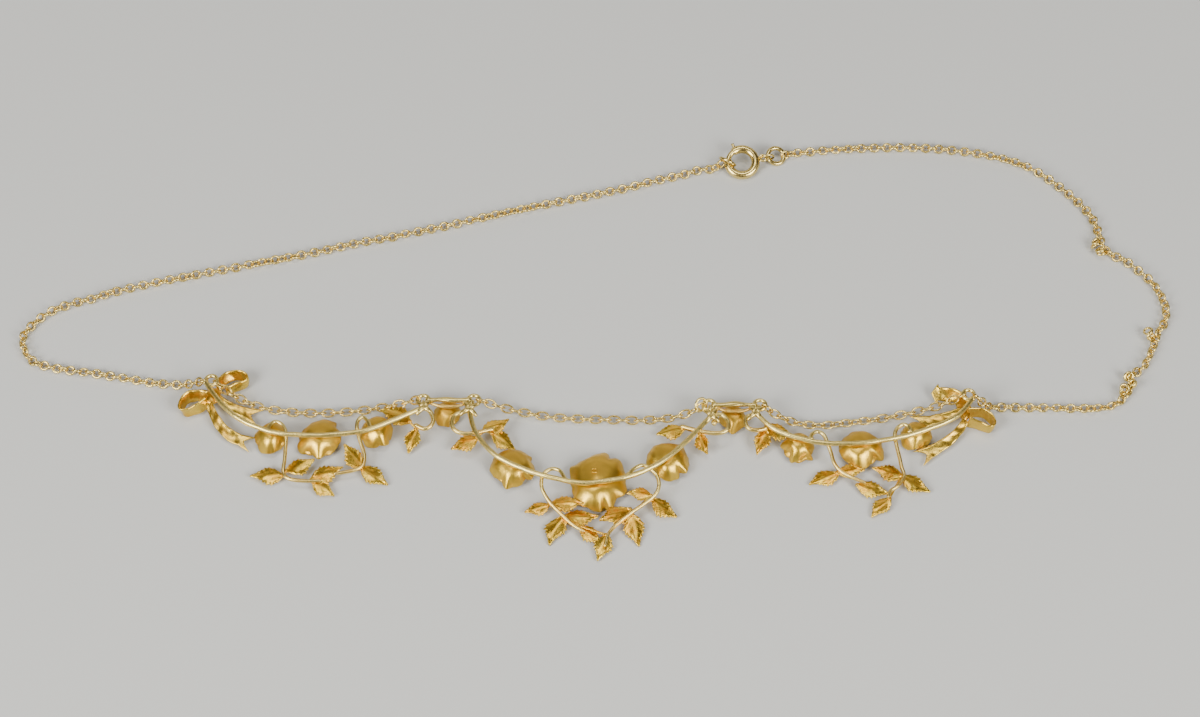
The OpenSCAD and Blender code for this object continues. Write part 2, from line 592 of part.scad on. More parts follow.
module bow(swag, ribbons, tails) {
    tail_w = ribbon_w * 0.85;
    color("orange") translate(place) {
        for (rows = ribbons)
            ribbon(route(swag, rows), rows, ribbon_w);
        for (rows = tails) {
            ribbon(route(swag, rows), rows, tail_w);
            fork(route(swag, rows), rows, tail_w);
        }
        hull()
            for (rows = concat(ribbons, tails))
                translate(at(swag, rows[0])) sphere(d = knot_d, $fn = 6);
    }
}

// Oval links along a curve, turned a quarter from one to the next
module oval_chain(p) {
    runs = [for (i = [0:len(p) - 1]) run(p, i)];
    total = runs[len(p) - 1];
    hook = link_len / 2 - link_wire - ring_wire / 2 - hook_space;
    free = total - 2 * hook;
    pitch = link_len - 2 * link_wire - link_gap;
    steps = 2 * ceil(free / pitch / 2);
    round_r = [(link_len - link_wire) / 2, (link_w - link_wire) / 2];
    m = link_sides;
    k = link_wire_sides;
    points = [for (i = [0:steps])
        let (s = hook + free * i / steps,
            c = along(p, runs, s),
            t = unit(along(p, runs, s + 0.2) - along(p, runs, s - 0.2)),
            x = across(t), y = cross(t, x),
            roll = i % 2 == 0 ? 90 : 0,
            b = cos(roll) * x + sin(roll) * y,
            n = cross(t, b))
        for (j = [0:m - 1])
            let (a = 360 * (j + 0.5) / m,
                o = unit(cos(a) / round_r[0] * t + sin(a) / round_r[1] * b))
            for (q = [0:k - 1])
                let (g = 360 * q / k)
                    c + round_r[0] * cos(a) * t + round_r[1] * sin(a) * b
                        + link_wire / 2 * (cos(g) * o + sin(g) * n)];
    faces = [for (i = [0:steps], j = [0:m - 1], q = [0:k - 1])
        let (o = i * m * k, j2 = (j + 1) % m, q2 = (q + 1) % k)
            [o + j * k + q, o + j * k + q2, o + j2 * k + q2, o + j2 * k + q]];
    color("khaki") translate(place) polyhedron(points = points, faces = faces, convexity = 10);
}

function hook_point(ring_at, outer_d, to) =
    ring_at + unit([to[0] - ring_at[0], to[1] - ring_at[1], 0]) * (outer_d - ring_wire) / 2;

module swag_chain(swag, rows, ring_a, d_a, ring_b, d_b) {
    p = route(swag, rows);
    start = hook_point(ring_a, d_a, p[0]);
    end = hook_point(ring_b, d_b, p[len(p) - 1]);
    oval_chain(smooth(concat([start], p, [end]), chain_steps));
}

// Upright link between the right end ring and the back chain
module right_end_link() {
    away = unit(end_link_way);
    hook = right_ring() + away * (end_ring_d - ring_wire) / 2;
    reach = end_link_d / 2 - end_link_wire - ring_wire / 2 - seat_gap;
    color("khaki") translate(place)
        translate(hook + unit(away - [0, 0, end_link_fall]) * reach)
            rotate(facing([away[1], -away[0], end_link_lean]))
                ring(end_link_d, end_link_wire, 32, 24);
}

// Back chain: a tube on the surface in place of the fine round links
module back_chain(route_xy, ends) {
    z = chain_d / 2;
    p = concat(ends[0], [for (q = route_xy) [q[0], q[1], z]], ends[1]);
    color("khaki") translate(place) wire(p, chain_d, chain_sides);
}

module place_bolt_ring() {
    translate(place) translate(bolt_ring_at) rotate([bolt_ring_tilt, 0, 0]) children();
}

// Sector of a round tube about the ring's axis
module sector(r, from, to) {
    rotate(from)
        rotate_extrude(angle = to - from, $fn = 96)
            translate([ring_r, 0])
                circle(r = r, $fn = 48);
}

// Hollow ring with a mouth, a slot for the lug and an eyelet
module bolt_ring() {
    slot_w = lug_d + 2 * bolt_clear;
    color("khaki") place_bolt_ring() {
        difference() {
            sector(tube_r, mouth_to, 360 + mouth_from);
            sector(tube_r - bolt_wall, mouth_to - 1, 360 + mouth_from + 1);
            rotate(lug_angle - bolt_travel - slot_angle())
                rotate_extrude(angle = bolt_travel + 2 * slot_angle(), $fn = 96)
                    translate([ring_r + tube_r / 3, -slot_w / 2])
                        square([tube_r, slot_w]);
        }
        rotate(eyelet_angle)
            translate([eyelet_r, 0, 0])
                ring(eyelet_d, clasp_wire, 48, 32);
    }
}

function slot_angle() = asin((lug_d / 2 + bolt_clear) / (ring_r + tube_r)) + 1;

// Sprung bolt: a curved rod in the tube with a thumb lug through the slot
module bolt() {
    color("gold") place_bolt_ring() {
        sector(bolt_r, lug_angle - bolt_tail, mouth_to + bolt_nose);
        rotate(lug_angle)
            translate([ring_r, 0, 0])
                rotate([0, 90, 0])
                    cylinder(d = lug_d, h = tube_r + 0.75, $fn = 32);
    }
}

// Ring standing on edge through the bolt ring's mouth side
module catch_ring() {
    color("khaki") translate(place)
        translate(catch_ring_at)
            rotate(facing(catch_ring_normal))
                ring(catch_ring_d, catch_wire, 48, 32);
}

// Vector turned about X and then about Y
function turned(v, tilt) =
    let (y = v[1] * cos(tilt[0]) - v[2] * sin(tilt[0]), z = v[1] * sin(tilt[0]) + v[2] * cos(tilt[0]))
        [v[0] * cos(tilt[1]) + z * sin(tilt[1]), y, z * cos(tilt[1]) - v[0] * sin(tilt[1])];

// Link through the eyelet and the chain ring, with the same free space at both wires
module clasp_link() {
    flat_way = unit([chain_ring_at[0] - eyelet_at[0], chain_ring_at[1] - eyelet_at[1], 0]);
    eyelet_side = eyelet_at + turned(flat_way, [bolt_ring_tilt, 0]) * (eyelet_d - clasp_wire) / 2;
    ring_side = chain_ring_at - turned(flat_way, chain_ring_tilt) * chain_ring_r;
    way = eyelet_side - ring_side;
    middle = ring_side + unit(way) * (norm(way) - (chain_ring_wire - clasp_wire) / 2) / 2;
    outer_d = norm(way) + (chain_ring_wire + clasp_wire) / 2 + 2 * clasp_wire + 2 * seat_gap;
    normal = clasp_link_lean - (clasp_link_lean * unit(way)) * unit(way);
    color("khaki") translate(place)
        translate(middle)
            rotate(facing(-normal))
                ring(outer_d, clasp_wire, 48, 32);
}

module chain_ring() {
    color("khaki") translate(place)
        translate(chain_ring_at) rotate([chain_ring_tilt[0], chain_ring_tilt[1], 0])
            ring(chain_ring_d, chain_ring_wire, 48, 32);
}

// Ends of the back chain beside the rings that hold it
function left_chain_start() = left_ring() - [end_ring_d / 2, 0, 0] + left_start_offset;
function left_chain_end() = catch_ring_at - [catch_ring_d / 2, 0, 0] + left_end_offset;
function right_chain_start() = right_ring() + [end_ring_d / 2, 0, 0] + right_start_offset;
function right_chain_end() = chain_ring_at + [chain_ring_d / 2, 0, 0] + right_end_offset;

left_frame();
swag_flower(left_swag, left_flowers[0], 1);  // left_flower_outer
swag_flower(left_swag, left_flowers[1], 1);  // left_flower_middle
swag_flower(left_swag, left_flowers[2], 1);  // left_flower_inner
leaves(left_swag, left_outer_leaves);  // left_leaves_outer
leaves(left_swag, left_middle_leaves);  // left_leaves_middle
leaves(left_swag, left_inner_leaves);  // left_leaves_inner
leaves(left_swag, left_joint_leaves);  // left_leaves_joint
bow(left_swag, [left_bow_outer, left_bow_inner], [left_bow_low_tail, left_bow_top_tail]);  // left_bow
swag_chain(left_swag, left_chain_rows, left_ring(), end_ring_d, eye_l, eye_d);  // left_swag_chain
bar(eye_l, eye_cl);  // left_bar
bar_flower(eye_l, eye_cl);  // left_bar_flower
centre_frame();
swag_flower(centre_swag, centre_flowers[0], 1.02);  // centre_flower_left
swag_flower(centre_swag, centre_flowers[1], 1.06);  // centre_flower_main
swag_flower(centre_swag, centre_flowers[2], 1.02);  // centre_flower_right
leaves(centre_swag, centre_left_leaves);  // centre_leaves_left
leaves(centre_swag, centre_low_leaves);  // centre_leaves_low
leaves(centre_swag, centre_right_leaves);  // centre_leaves_right
leaves(centre_swag, centre_joint_l_leaves);  // centre_leaves_joint_left
leaves(centre_swag, centre_joint_r_leaves);  // centre_leaves_joint_right
swag_chain(centre_swag, centre_chain_rows, eye_cl, eye_d, eye_cr, eye_d);  // centre_swag_chain
bar(eye_cr, eye_r);  // right_bar
bar_flower(eye_cr, eye_r);  // right_bar_flower
right_frame();
swag_flower(right_swag, right_flowers[0], 1);  // right_flower_inner
swag_flower(right_swag, right_flowers[1], 1);  // right_flower_middle
swag_flower(right_swag, right_flowers[2], 1);  // right_flower_outer
leaves(right_swag, right_left_leaves);  // right_leaves_left
leaves(right_swag, right_middle_leaves);  // right_leaves_middle
leaves(right_swag, right_right_leaves);  // right_leaves_right
leaves(right_swag, right_joint_leaves);  // right_leaves_joint
bow(right_swag, [right_bow_outer, right_bow_inner], [right_bow_low_tail, right_bow_top_tail]);  // right_bow
swag_chain(right_swag, right_chain_rows, eye_r, eye_d, right_ring(), end_ring_d);  // right_swag_chain
right_end_link();
back_chain(left_route, [[left_chain_start()], [left_chain_end()]]);  // back_chain_left
back_chain(right_route, [[right_chain_start()], [right_chain_end()]]);  // back_chain_right
bolt_ring();
bolt();
clasp_link();
chain_ring();
catch_ring();
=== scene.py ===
import bmesh
import bpy
import numpy as np
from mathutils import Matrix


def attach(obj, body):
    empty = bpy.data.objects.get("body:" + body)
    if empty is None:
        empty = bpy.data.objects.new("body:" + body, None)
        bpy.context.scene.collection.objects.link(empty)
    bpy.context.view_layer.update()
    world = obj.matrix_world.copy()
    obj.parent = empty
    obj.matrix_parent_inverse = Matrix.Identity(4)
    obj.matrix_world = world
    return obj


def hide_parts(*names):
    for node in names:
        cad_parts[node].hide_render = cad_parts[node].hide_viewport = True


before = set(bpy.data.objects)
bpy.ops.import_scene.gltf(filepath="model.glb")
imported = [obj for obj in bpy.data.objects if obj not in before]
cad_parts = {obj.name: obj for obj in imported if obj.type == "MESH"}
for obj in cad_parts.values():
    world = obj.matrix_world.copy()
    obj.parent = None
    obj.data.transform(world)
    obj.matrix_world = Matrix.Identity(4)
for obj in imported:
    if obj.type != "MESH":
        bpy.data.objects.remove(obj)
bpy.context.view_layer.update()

# Lengths are in millimetres, in the front panel's own coordinates; PLACE carries them into the frame. A vector
# times LEVEL loses its height.
MM = 0.001
PLACE = np.array([0.6, -2.7, 0.0])
UP = np.array([0.0, 0.0, 1.0])
EAST = np.array([1.0, 0.0, 0.0])
NORTH = np.array([0.0, 1.0, 0.0])
LEVEL = EAST + NORTH

# Swags as in the model: left end x and y, span, unit depth
CENTRE_SWAG = (-20.6, -12.0, 38.5, 26.0)
LEFT_SWAG = (-61.3, -6.6, 33.6, 20.0)
RIGHT_SWAG = (24.5, -12.6, 33.6, 20.0)
ARC_Z = 3.6
EYE_Z = ARC_Z * 0.87
EYES = {
    "left": np.array([-27.9, -10.3, EYE_Z]),
    "centre_left": np.array([-19.9, -10.3, EYE_Z]),
    "centre_right": np.array([17.2, -11.2, EYE_Z]),
    "right": np.array([25.2, -11.2, EYE_Z]),
}

# Wires by diameter, rings by outer diameter, and sheet by thickness
ARC_WIRE, TENDRIL_WIRE, LOOP_WIRE, RING_WIRE = 0.8, 0.61, 0.7, 0.62
END_RING, EYE = 2.5, 2.5
HANGER_R, HANGER_WIRE = 0.65, 0.4
LEAF_LEN, LEAF_W, LEAF_SHEET = 5.15, 3.3, 0.24
RIBBON_W, NARROW_RIBBON_W, RIBBON_SHEET = 2.0, 1.65, 0.28
PETAL_SHEET = 0.28

# Chain links, with how many points go round them and round their wire, and their distance along the chain
SWAG_LINK = {"half_long": 1.0, "half_wide": 0.61, "wire": 0.33, "around": 20, "sides": 8}
SWAG_PITCH = 1.45
BACK_LINK = {"half_long": 0.69, "half_wide": 0.63, "wire": 0.4, "around": 12, "sides": 6}
BACK_PITCH = 1.09

# Lumps of solder by their half sizes: under a star, on an arc, at a frame's end, at a bar's eye, at a leaf's root
STAR_MOUND = (0.66, 0.6, 0.5)
ARC_BEAD = (0.5, 0.42, 0.36)
END_BEAD = (0.5, 0.45, 0.4)
EYE_BEAD = (0.45, 0.4, 0.32)
ROOT_BEAD = (0.34, 0.3, 0.22)

# How far a sheet's rim bulges, by its thickness, and where a wire's round end has its rings, in degrees
RIM_BULGE = 0.4
CAP_TURNS = (80, 55, 28)


# Shapes: a shape is (points, quads, triangles, marks), and marks hold one value or vector for each point.

def unit(v):
    """Each vector divided by its length."""
    return v / np.maximum(np.linalg.norm(v, axis=-1, keepdims=True), 1e-9)


def at(swag, rows):
    """Points from rows of along, down and height, as shares of span, unit depth and arc height."""
    r = np.asarray(rows, float)
    return np.stack([swag[0] + r[:, 0] * swag[2], swag[1] - r[:, 1] * swag[3], r[:, 2] * ARC_Z], 1)


def smooth(rows, steps):
    """Catmull-Rom curve through the rows: in each stretch a cubic whose slope at a row is half the chord between
    that row's neighbours."""
    p = np.asarray(rows, float)
    e = np.concatenate([p[:1], p, p[-1:]])[:, None]
    a, b, c, d = e[:-3], e[1:-2], e[2:-1], e[3:]
    t = (np.arange(steps) / steps)[None, :, None]
    q = 0.5 * (2 * b + (c - a) * t + (2 * a - 5 * b + 4 * c - d) * t**2 + (3 * b - a - 3 * c + d) * t**3)
    return np.concatenate([q.reshape(-1, p.shape[1]), p[-1:]])


def level(degrees):
    """Level unit vector at an angle from +X towards +Y."""
    a = np.radians(degrees)
    return np.array([np.cos(a), np.sin(a), 0.0])


def rise(s, start, power=1):
    """0 up to start, then growing evenly to 1 at s = 1, to the given power."""
    return np.clip((s - start) / (1 - start), 0, 1) ** power


def runs(path):
    """Length along a path up to each of its points."""
    return np.concatenate([[0], np.cumsum(np.linalg.norm(np.diff(path, axis=0), axis=1))])


def points_at(path, lengths):
    """Points of a path at the given lengths along it."""
    return np.stack([np.interp(lengths, runs(path), path[:, k]) for k in range(path.shape[1])], 1)


def grid_quads(n, m, wrap_u=False, wrap_v=False):
    """Quads between neighbouring rows and columns of an n by m grid of points; a wrapped way closes on itself."""
    i, j = np.meshgrid(np.arange(n if wrap_u else n - 1), np.arange(m if wrap_v else m - 1), indexing="ij")
    i, j = i.ravel(), j.ravel()
    below, beside = (i + 1) % n, (j + 1) % m
    return np.stack([i * m + j, below * m + j, below * m + beside, i * m + beside], 1)


def fan(hub, around):
    """Triangles from a hub point to each pair of neighbours in a closed ring of points."""
    return np.stack([np.full(len(around), hub), around, np.roll(around, -1)], 1)


def shape(points, quads, tris=None, **marks):
    """One shape with its marks filled in: the darkening mark darkens, mostly as painted shade in hollows, folds and
    under things and partly as real tone; stain warms; trail follows a wire's length.
    """
    n = len(points)
    full = {"tone": np.zeros(n), "stain": np.zeros(n), "trail": points * 1.0}
    full.update(marks)
    return points, quads, np.zeros((0, 3), int) if tris is None else tris, full


def join(shapes):
    """Several shapes as one."""
    points, quads, tris, marks, start = [], [], [], {"tone": [], "stain": [], "trail": []}, 0
    for p, q, t, m in shapes:
        points.append(p)
        quads.append(q + start)
        tris.append(t + start)
        for key in marks:
            marks[key].append(m[key])
        start += len(p)
    return (np.concatenate(points), np.concatenate(quads), np.concatenate(tris),
            {key: np.concatenate(v) for key, v in marks.items()})


def tube(path, radius, sides=14, flat=1.0, stain=0.0):
    """Round wire with round ends: at each path point a ring of radius times (cos a * side + flat * sin a * lift),
    side level and square to the path; past each end three smaller rings close on a pole, as a quarter circle does.
    A stain is one value, or a list that runs evenly from the first end to the last."""
    path = np.asarray(path, float)
    r = np.broadcast_to(np.asarray(radius, float), (len(path),)).copy()
    t = unit(np.gradient(path, axis=0))
    turn = np.radians(CAP_TURNS)
    head = path[0] - np.outer(np.sin(turn) * r[0], t[0])
    tail = path[-1] + np.outer(np.sin(turn[::-1]) * r[-1], t[-1])
    path = np.concatenate([head, path, tail])
    r = np.concatenate([np.cos(turn) * r[0], r, np.cos(turn[::-1]) * r[-1]])
    t = np.concatenate([np.repeat(t[:1], 3, 0), t, np.repeat(t[-1:], 3, 0)])
    side = unit(np.cross(UP, t))
    lift = np.cross(t, side)
    a = np.linspace(0, 2 * np.pi, sides, endpoint=False)
    ring = np.cos(a)[None, :, None] * side[:, None] + flat * np.sin(a)[None, :, None] * lift[:, None]
    points = (path[:, None] + r[:, None, None] * ring).reshape(-1, 3)
    n = len(path)
    s = runs(path)
    trail = np.stack([np.tile(np.cos(a), n), np.tile(np.sin(a), n), np.repeat(s, sides)], 1)
    poles = np.stack([path[0] - t[0] * 0.02 * r[3], path[-1] + t[-1] * 0.02 * r[-4]])
    size, ends = n * sides, np.arange(sides)
    tris = np.concatenate([fan(size, ends[::-1]), fan(size + 1, size - sides + ends)])
    trail = np.concatenate([trail, [[0, 0, 0], [0, 0, s[-1]]]])
    stains = np.atleast_1d(stain)
    spread = np.interp(s, np.linspace(0, s[-1], len(stains)), stains)
    return shape(np.concatenate([points, poles]), grid_quads(n, sides, wrap_v=True), tris, trail=trail,
                 stain=np.concatenate([np.repeat(spread, sides), [stains[0], stains[-1]]]))


def link(centre, along, across, half_long, half_wide, wire, around, sides, stain=0.0):
    """Closed link: its middle line is centre + half_long * cos(a) * along + half_wide * sin(a) * across, with a round
    section square to that line."""
    a = np.linspace(0, 2 * np.pi, around, endpoint=False)
    line = centre + half_long * np.cos(a)[:, None] * along + half_wide * np.sin(a)[:, None] * across
    t = unit(np.roll(line, -1, 0) - np.roll(line, 1, 0))
    n = np.cross(along, across)
    out = np.cross(t, n)
    g = np.linspace(0, 2 * np.pi, sides, endpoint=False)
    points = line[:, None] + wire / 2 * (np.cos(g)[None, :, None] * out[:, None] + np.sin(g)[None, :, None] * n)
    run = a * (half_long + half_wide) / 2
    trail = np.stack([np.tile(np.cos(g), around), np.tile(np.sin(g), around), np.repeat(run, sides)], 1)
    return shape(points.reshape(-1, 3), grid_quads(around, sides, True, True), trail=trail,
                 stain=np.full(around * sides, stain))


def blob(centre, radii, seed, lumps=0.12, n=14, m=20):
    """Solder blob: an ellipsoid whose radius swells and sinks by two waves of longitude, one of them slanted by
    latitude, that fade out at the poles."""
    rng = np.random.default_rng(seed)
    lat = np.linspace(-np.pi / 2, np.pi / 2, n)[1:-1]
    lon = np.linspace(0, 2 * np.pi, m, endpoint=False)
    la, lo = np.meshgrid(lat, lon, indexing="ij")
    ph = rng.uniform(0, 6.28, 3)
    r = 1 + lumps * np.cos(la) * (np.sin(2 * lo + ph[0]) * 0.6 + np.sin(3 * lo + 2 * la + ph[1]) * 0.4)
    v = np.stack([np.cos(la) * np.cos(lo), np.cos(la) * np.sin(lo), np.sin(la)], -1) * r[..., None]
    points = np.concatenate([v.reshape(-1, 3), [[0, 0, -1], [0, 0, 1]]]) * np.asarray(radii) + centre
    size, ends = (n - 2) * m, np.arange(m)
    tris = np.concatenate([fan(size, ends[::-1]), fan(size + 1, size - m + ends)])
    return shape(points, grid_quads(n - 2, m, wrap_v=True), tris, tone=np.full(len(points), 0.15))


def rim_quads(upper, under, first):
    """Two closed bands of quads round a sheet: from its upper edge to its rim, whose points count from first, and
    from the rim to its under edge."""
    k = first + np.arange(len(upper))
    after = np.roll(k, -1)
    return np.concatenate([np.stack([upper, np.roll(upper, -1), after, k], 1),
                           np.stack([k, after, np.roll(under, -1), under], 1)])


def plate(grid, sheet, tone=None, stain=None):
    """Sheet of metal about a grid of points: the grid moved half the thickness to each side along its normal,
    which is the cross product of its two slopes, and joined round the edge by a rim that bulges a little."""
    n, m = grid.shape[:2]
    normal = unit(np.cross(np.gradient(grid, axis=0), np.gradient(grid, axis=1)))
    top, under = grid + normal * sheet / 2, grid - normal * sheet / 2
    down, right = np.arange(n - 1), np.arange(m - 1)
    i = np.concatenate([np.zeros(m - 1, int), down, np.full(m - 1, n - 1), n - 1 - down])
    j = np.concatenate([right, np.full(n - 1, m - 1), m - 1 - right, np.zeros(n - 1, int)])
    inner = grid[np.clip(i, 1, n - 2), np.clip(j, 1, m - 2)]
    rim = grid[i, j] + unit(grid[i, j] - inner) * sheet * RIM_BULGE
    edge, size = i * m + j, n * m
    quads = grid_quads(n, m)
    around = rim_quads(edge, size + edge, 2 * size)
    points = np.concatenate([top.reshape(-1, 3), under.reshape(-1, 3), rim])
    marks = {}
    for key, value in (("tone", tone), ("stain", stain)):
        flat = np.zeros(size) if value is None else value.ravel()
        marks[key] = np.concatenate([flat, flat, flat[edge] * 0.3])
    return shape(points, np.concatenate([quads, quads[:, ::-1] + size, around]), **marks)


def dome(grid, sheet, tone, stain):
    """Sheet about a polar grid of radius by angle whose first row lies round the middle: both faces, a fan at the
    middle and a bulging rim at the outer row. The under face is darker, as painted shade."""
    n, m = grid.shape[:2]
    slope_v = np.roll(grid, -1, 1) - np.roll(grid, 1, 1)
    normal = unit(np.cross(np.gradient(grid, axis=0), slope_v))
    top, under = grid + normal * sheet / 2, grid - normal * sheet / 2
    rim = grid[-1] + unit(grid[-1] - grid[-2]) * sheet * RIM_BULGE
    points = np.concatenate([top.reshape(-1, 3), under.reshape(-1, 3), rim, [top[0].mean(0), under[0].mean(0)]])
    size, inner = n * m, np.arange(m)
    hub = 2 * size + m
    quads = grid_quads(n, m, wrap_v=True)
    edge = size - m + inner
    around = rim_quads(edge, size + edge, 2 * size)
    tris = np.concatenate([fan(hub, inner), fan(hub + 1, size + inner[::-1])])
    marks = {}
    # The under face gets 0.35 more of the darkening mark, as painted shade under the sheet.
    for key, value, darker in (("tone", tone, 0.35), ("stain", stain, 0.0)):
        middle = [value[0].mean()] * 2
        marks[key] = np.concatenate([value.ravel(), value.ravel() + darker, value[-1] * 0.4, middle])
    return shape(points, np.concatenate([quads, quads[:, ::-1] + size, around]), tris, **marks)


def turned(points, degrees, axis):
    """Points turned about the x, y or z axis."""
    a = np.radians(degrees)
    c, s = np.cos(a), np.sin(a)
    p, q = {"x": (1, 2), "y": (2, 0), "z": (0, 1)}[axis]
    out = points.copy()
    out[..., p] = points[..., p] * c - points[..., q] * s
    out[..., q] = points[..., p] * s + points[..., q] * c
    return out


def dress(name, mesh, finish, body, node):
    """The finished mesh as a piece: its material, the body it rides on and the node it replaces."""
    material, slot = finish
    mesh.materials.clear()
    mesh.materials.append(material)
    piece = bpy.data.objects.new(name, mesh)
    bpy.context.scene.collection.objects.link(piece)
    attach(piece, body)
    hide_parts(node)


def put(name, made, finish, node, body="necklace"):
    """The shape as one mesh object at the origin, in metres, smooth, with its faces outwards and its marks."""
    points, quads, tris, marks = made
    mesh = bpy.data.meshes.new(name)
    corners = np.concatenate([quads.ravel(), tris.ravel()]).astype(np.int32)
    sizes = np.concatenate([np.full(len(quads), 4), np.full(len(tris), 3)])
    starts = np.concatenate([[0], np.cumsum(sizes)[:-1]]).astype(np.int32)
    mesh.vertices.add(len(points))
    mesh.loops.add(len(corners))
    mesh.polygons.add(len(sizes))
    mesh.vertices.foreach_set("co", ((points + PLACE) * MM).astype(np.float32).ravel())
    mesh.loops.foreach_set("vertex_index", corners)
    mesh.polygons.foreach_set("loop_start", starts)
    mesh.update(calc_edges=True)
    for key in ("tone", "stain"):
        mesh.attributes.new(key, "FLOAT", "POINT").data.foreach_set("value", marks[key].astype(np.float32))
    mesh.attributes.new("trail", "FLOAT_VECTOR", "POINT").data.foreach_set(
        "vector", marks["trail"].astype(np.float32).ravel())
    mesh.validate()
    work = bmesh.new()
    work.from_mesh(mesh)
    bmesh.ops.recalc_face_normals(work, faces=work.faces)
    work.to_mesh(mesh)
    work.free()
    mesh.shade_smooth()
    dress(name, mesh, finish, body, node)


# Finishes: each is a material with the slot of the record that it belongs to

def gold(name, slot, base, warm, rough, grain, bump, streak=0.0):
    """Gold: a base colour that clouds a little, darkens with the darkening mark, which is mostly painted shade in
    hollows, folds, under faces and far sides, turns warm with stain, with worn roughness and fine scratches; streak
    draws them out along the wire."""
    mat = bpy.data.materials.new(name)
    mat.use_nodes = True
    nodes, links = mat.node_tree.nodes, mat.node_tree.links
    shader = nodes["Principled BSDF"]
    shader.inputs["Metallic"].default_value = 1.0

    def new(kind, **values):
        node = nodes.new(kind)
        for key, value in values.items():
            node.inputs[key].default_value = value
        return node

    def mix(factor, a, b, blend="MIX"):
        node = nodes.new("ShaderNodeMix")
        node.data_type = "RGBA"
        node.blend_type = blend
        for index, value in ((0, factor), (6, a), (7, b)):
            if isinstance(value, bpy.types.NodeSocket):
                links.new(value, node.inputs[index])
            else:
                node.inputs[index].default_value = value
        return node.outputs[2]

    def ranged(value, low, high, to_low, to_high):
        limits = {"From Min": low, "From Max": high, "To Min": to_low, "To Max": to_high}
        node = new("ShaderNodeMapRange", **limits)
        links.new(value, node.inputs["Value"])
        return node.outputs["Result"]

    def mark(key):
        node = nodes.new("ShaderNodeAttribute")
        node.attribute_name = key
        return node

    coords = nodes.new("ShaderNodeTexCoord").outputs["Object"]
    cloud = new("ShaderNodeTexNoise", Scale=420.0, Detail=4.0, Roughness=0.6)
    fine = new("ShaderNodeTexNoise", Scale=grain, Detail=6.0, Roughness=0.7)
    spots = new("ShaderNodeTexNoise", Scale=900.0, Detail=3.0, Roughness=0.65)
    for node in (cloud, fine, spots):
        links.new(coords, node.inputs["Vector"])
    stain = mark("stain").outputs["Fac"]
    tone = mark("tone").outputs["Fac"]
    spotted = nodes.new("ShaderNodeMath")
    spotted.operation = "MULTIPLY"
    links.new(stain, spotted.inputs[0])
    links.new(ranged(spots.outputs["Fac"], 0.35, 0.62, 0.15, 1.0), spotted.inputs[1])
    light = tuple(min(1.0, c * 1.06) for c in base) + (1.0,)
    dull = tuple(c * 0.86 for c in base) + (1.0,)
    colour = mix(ranged(cloud.outputs["Fac"], 0.35, 0.68, 0.0, 1.0), dull, light)
    colour = mix(spotted.outputs[0], colour, warm + (1.0,))
    # Painted shade: the darkening mark mixes the colour towards this dark brown in hollows, folds, under faces and far
    # sides; a few marks of real tone use it too.
    dark = tuple(c * f for c, f in zip(base, (0.55, 0.37, 0.3))) + (1.0,)
    colour = mix(ranged(tone, 0.0, 1.0, 0.0, 0.85), colour, dark)
    links.new(colour, shader.inputs["Base Color"])
    rough_sum = nodes.new("ShaderNodeMath")
    rough_sum.operation = "ADD"
    links.new(ranged(fine.outputs["Fac"], 0.3, 0.7, rough - 0.07, rough + 0.09), rough_sum.inputs[0])
    links.new(ranged(tone, 0.0, 1.0, 0.0, 0.3), rough_sum.inputs[1])
    links.new(rough_sum.outputs[0], shader.inputs["Roughness"])
    height = fine.outputs["Fac"]
    if streak:
        stretched = new("ShaderNodeMapping", Scale=(3.0, 3.0, streak))
        links.new(mark("trail").outputs["Vector"], stretched.inputs["Vector"])
        lines = new("ShaderNodeTexNoise", Scale=1.0, Detail=5.0, Roughness=0.65)
        links.new(stretched.outputs["Vector"], lines.inputs["Vector"])
        height = lines.outputs["Fac"]
    first = new("ShaderNodeBump", Strength=bump, Distance=0.00006)
    links.new(height, first.inputs["Height"])
    second = new("ShaderNodeBump", Strength=0.2, Distance=0.00015)
    links.new(cloud.outputs["Fac"], second.inputs["Height"])
    links.new(first.outputs["Normal"], second.inputs["Normal"])
    links.new(second.outputs["Normal"], shader.inputs["Normal"])
    return mat, slot


WIRE = gold("drawn_wire_gold", "wire_gold", (0.88, 0.71, 0.24), (0.76, 0.46, 0.1), 0.29, 5200.0, 0.07, streak=0.35)
FLOWER = gold("satin_flower_gold", "flower_gold", (0.85, 0.575, 0.08), (0.72, 0.36, 0.03), 0.31, 7000.0, 0.3)
LEAF = gold("stamped_leaf_gold", "leaf_gold", (0.88, 0.63, 0.085), (0.82, 0.37, 0.03), 0.27, 6000.0, 0.3)
BOW = gold("ribbon_gold", "bow_gold", (0.86, 0.61, 0.10), (0.78, 0.37, 0.04), 0.27, 5200.0, 0.2)
CHAIN = gold("chain_link_gold", "chain_gold", (0.91, 0.71, 0.24), (0.6, 0.36, 0.1), 0.24, 5200.0, 0.1)
CLASP = gold("clasp_gold", "clasp_gold", (0.84, 0.66, 0.24), (0.6, 0.36, 0.1), 0.22, 5200.0, 0.1)


# Frames: arc wire, tendrils, loops, end rings, solder and stars

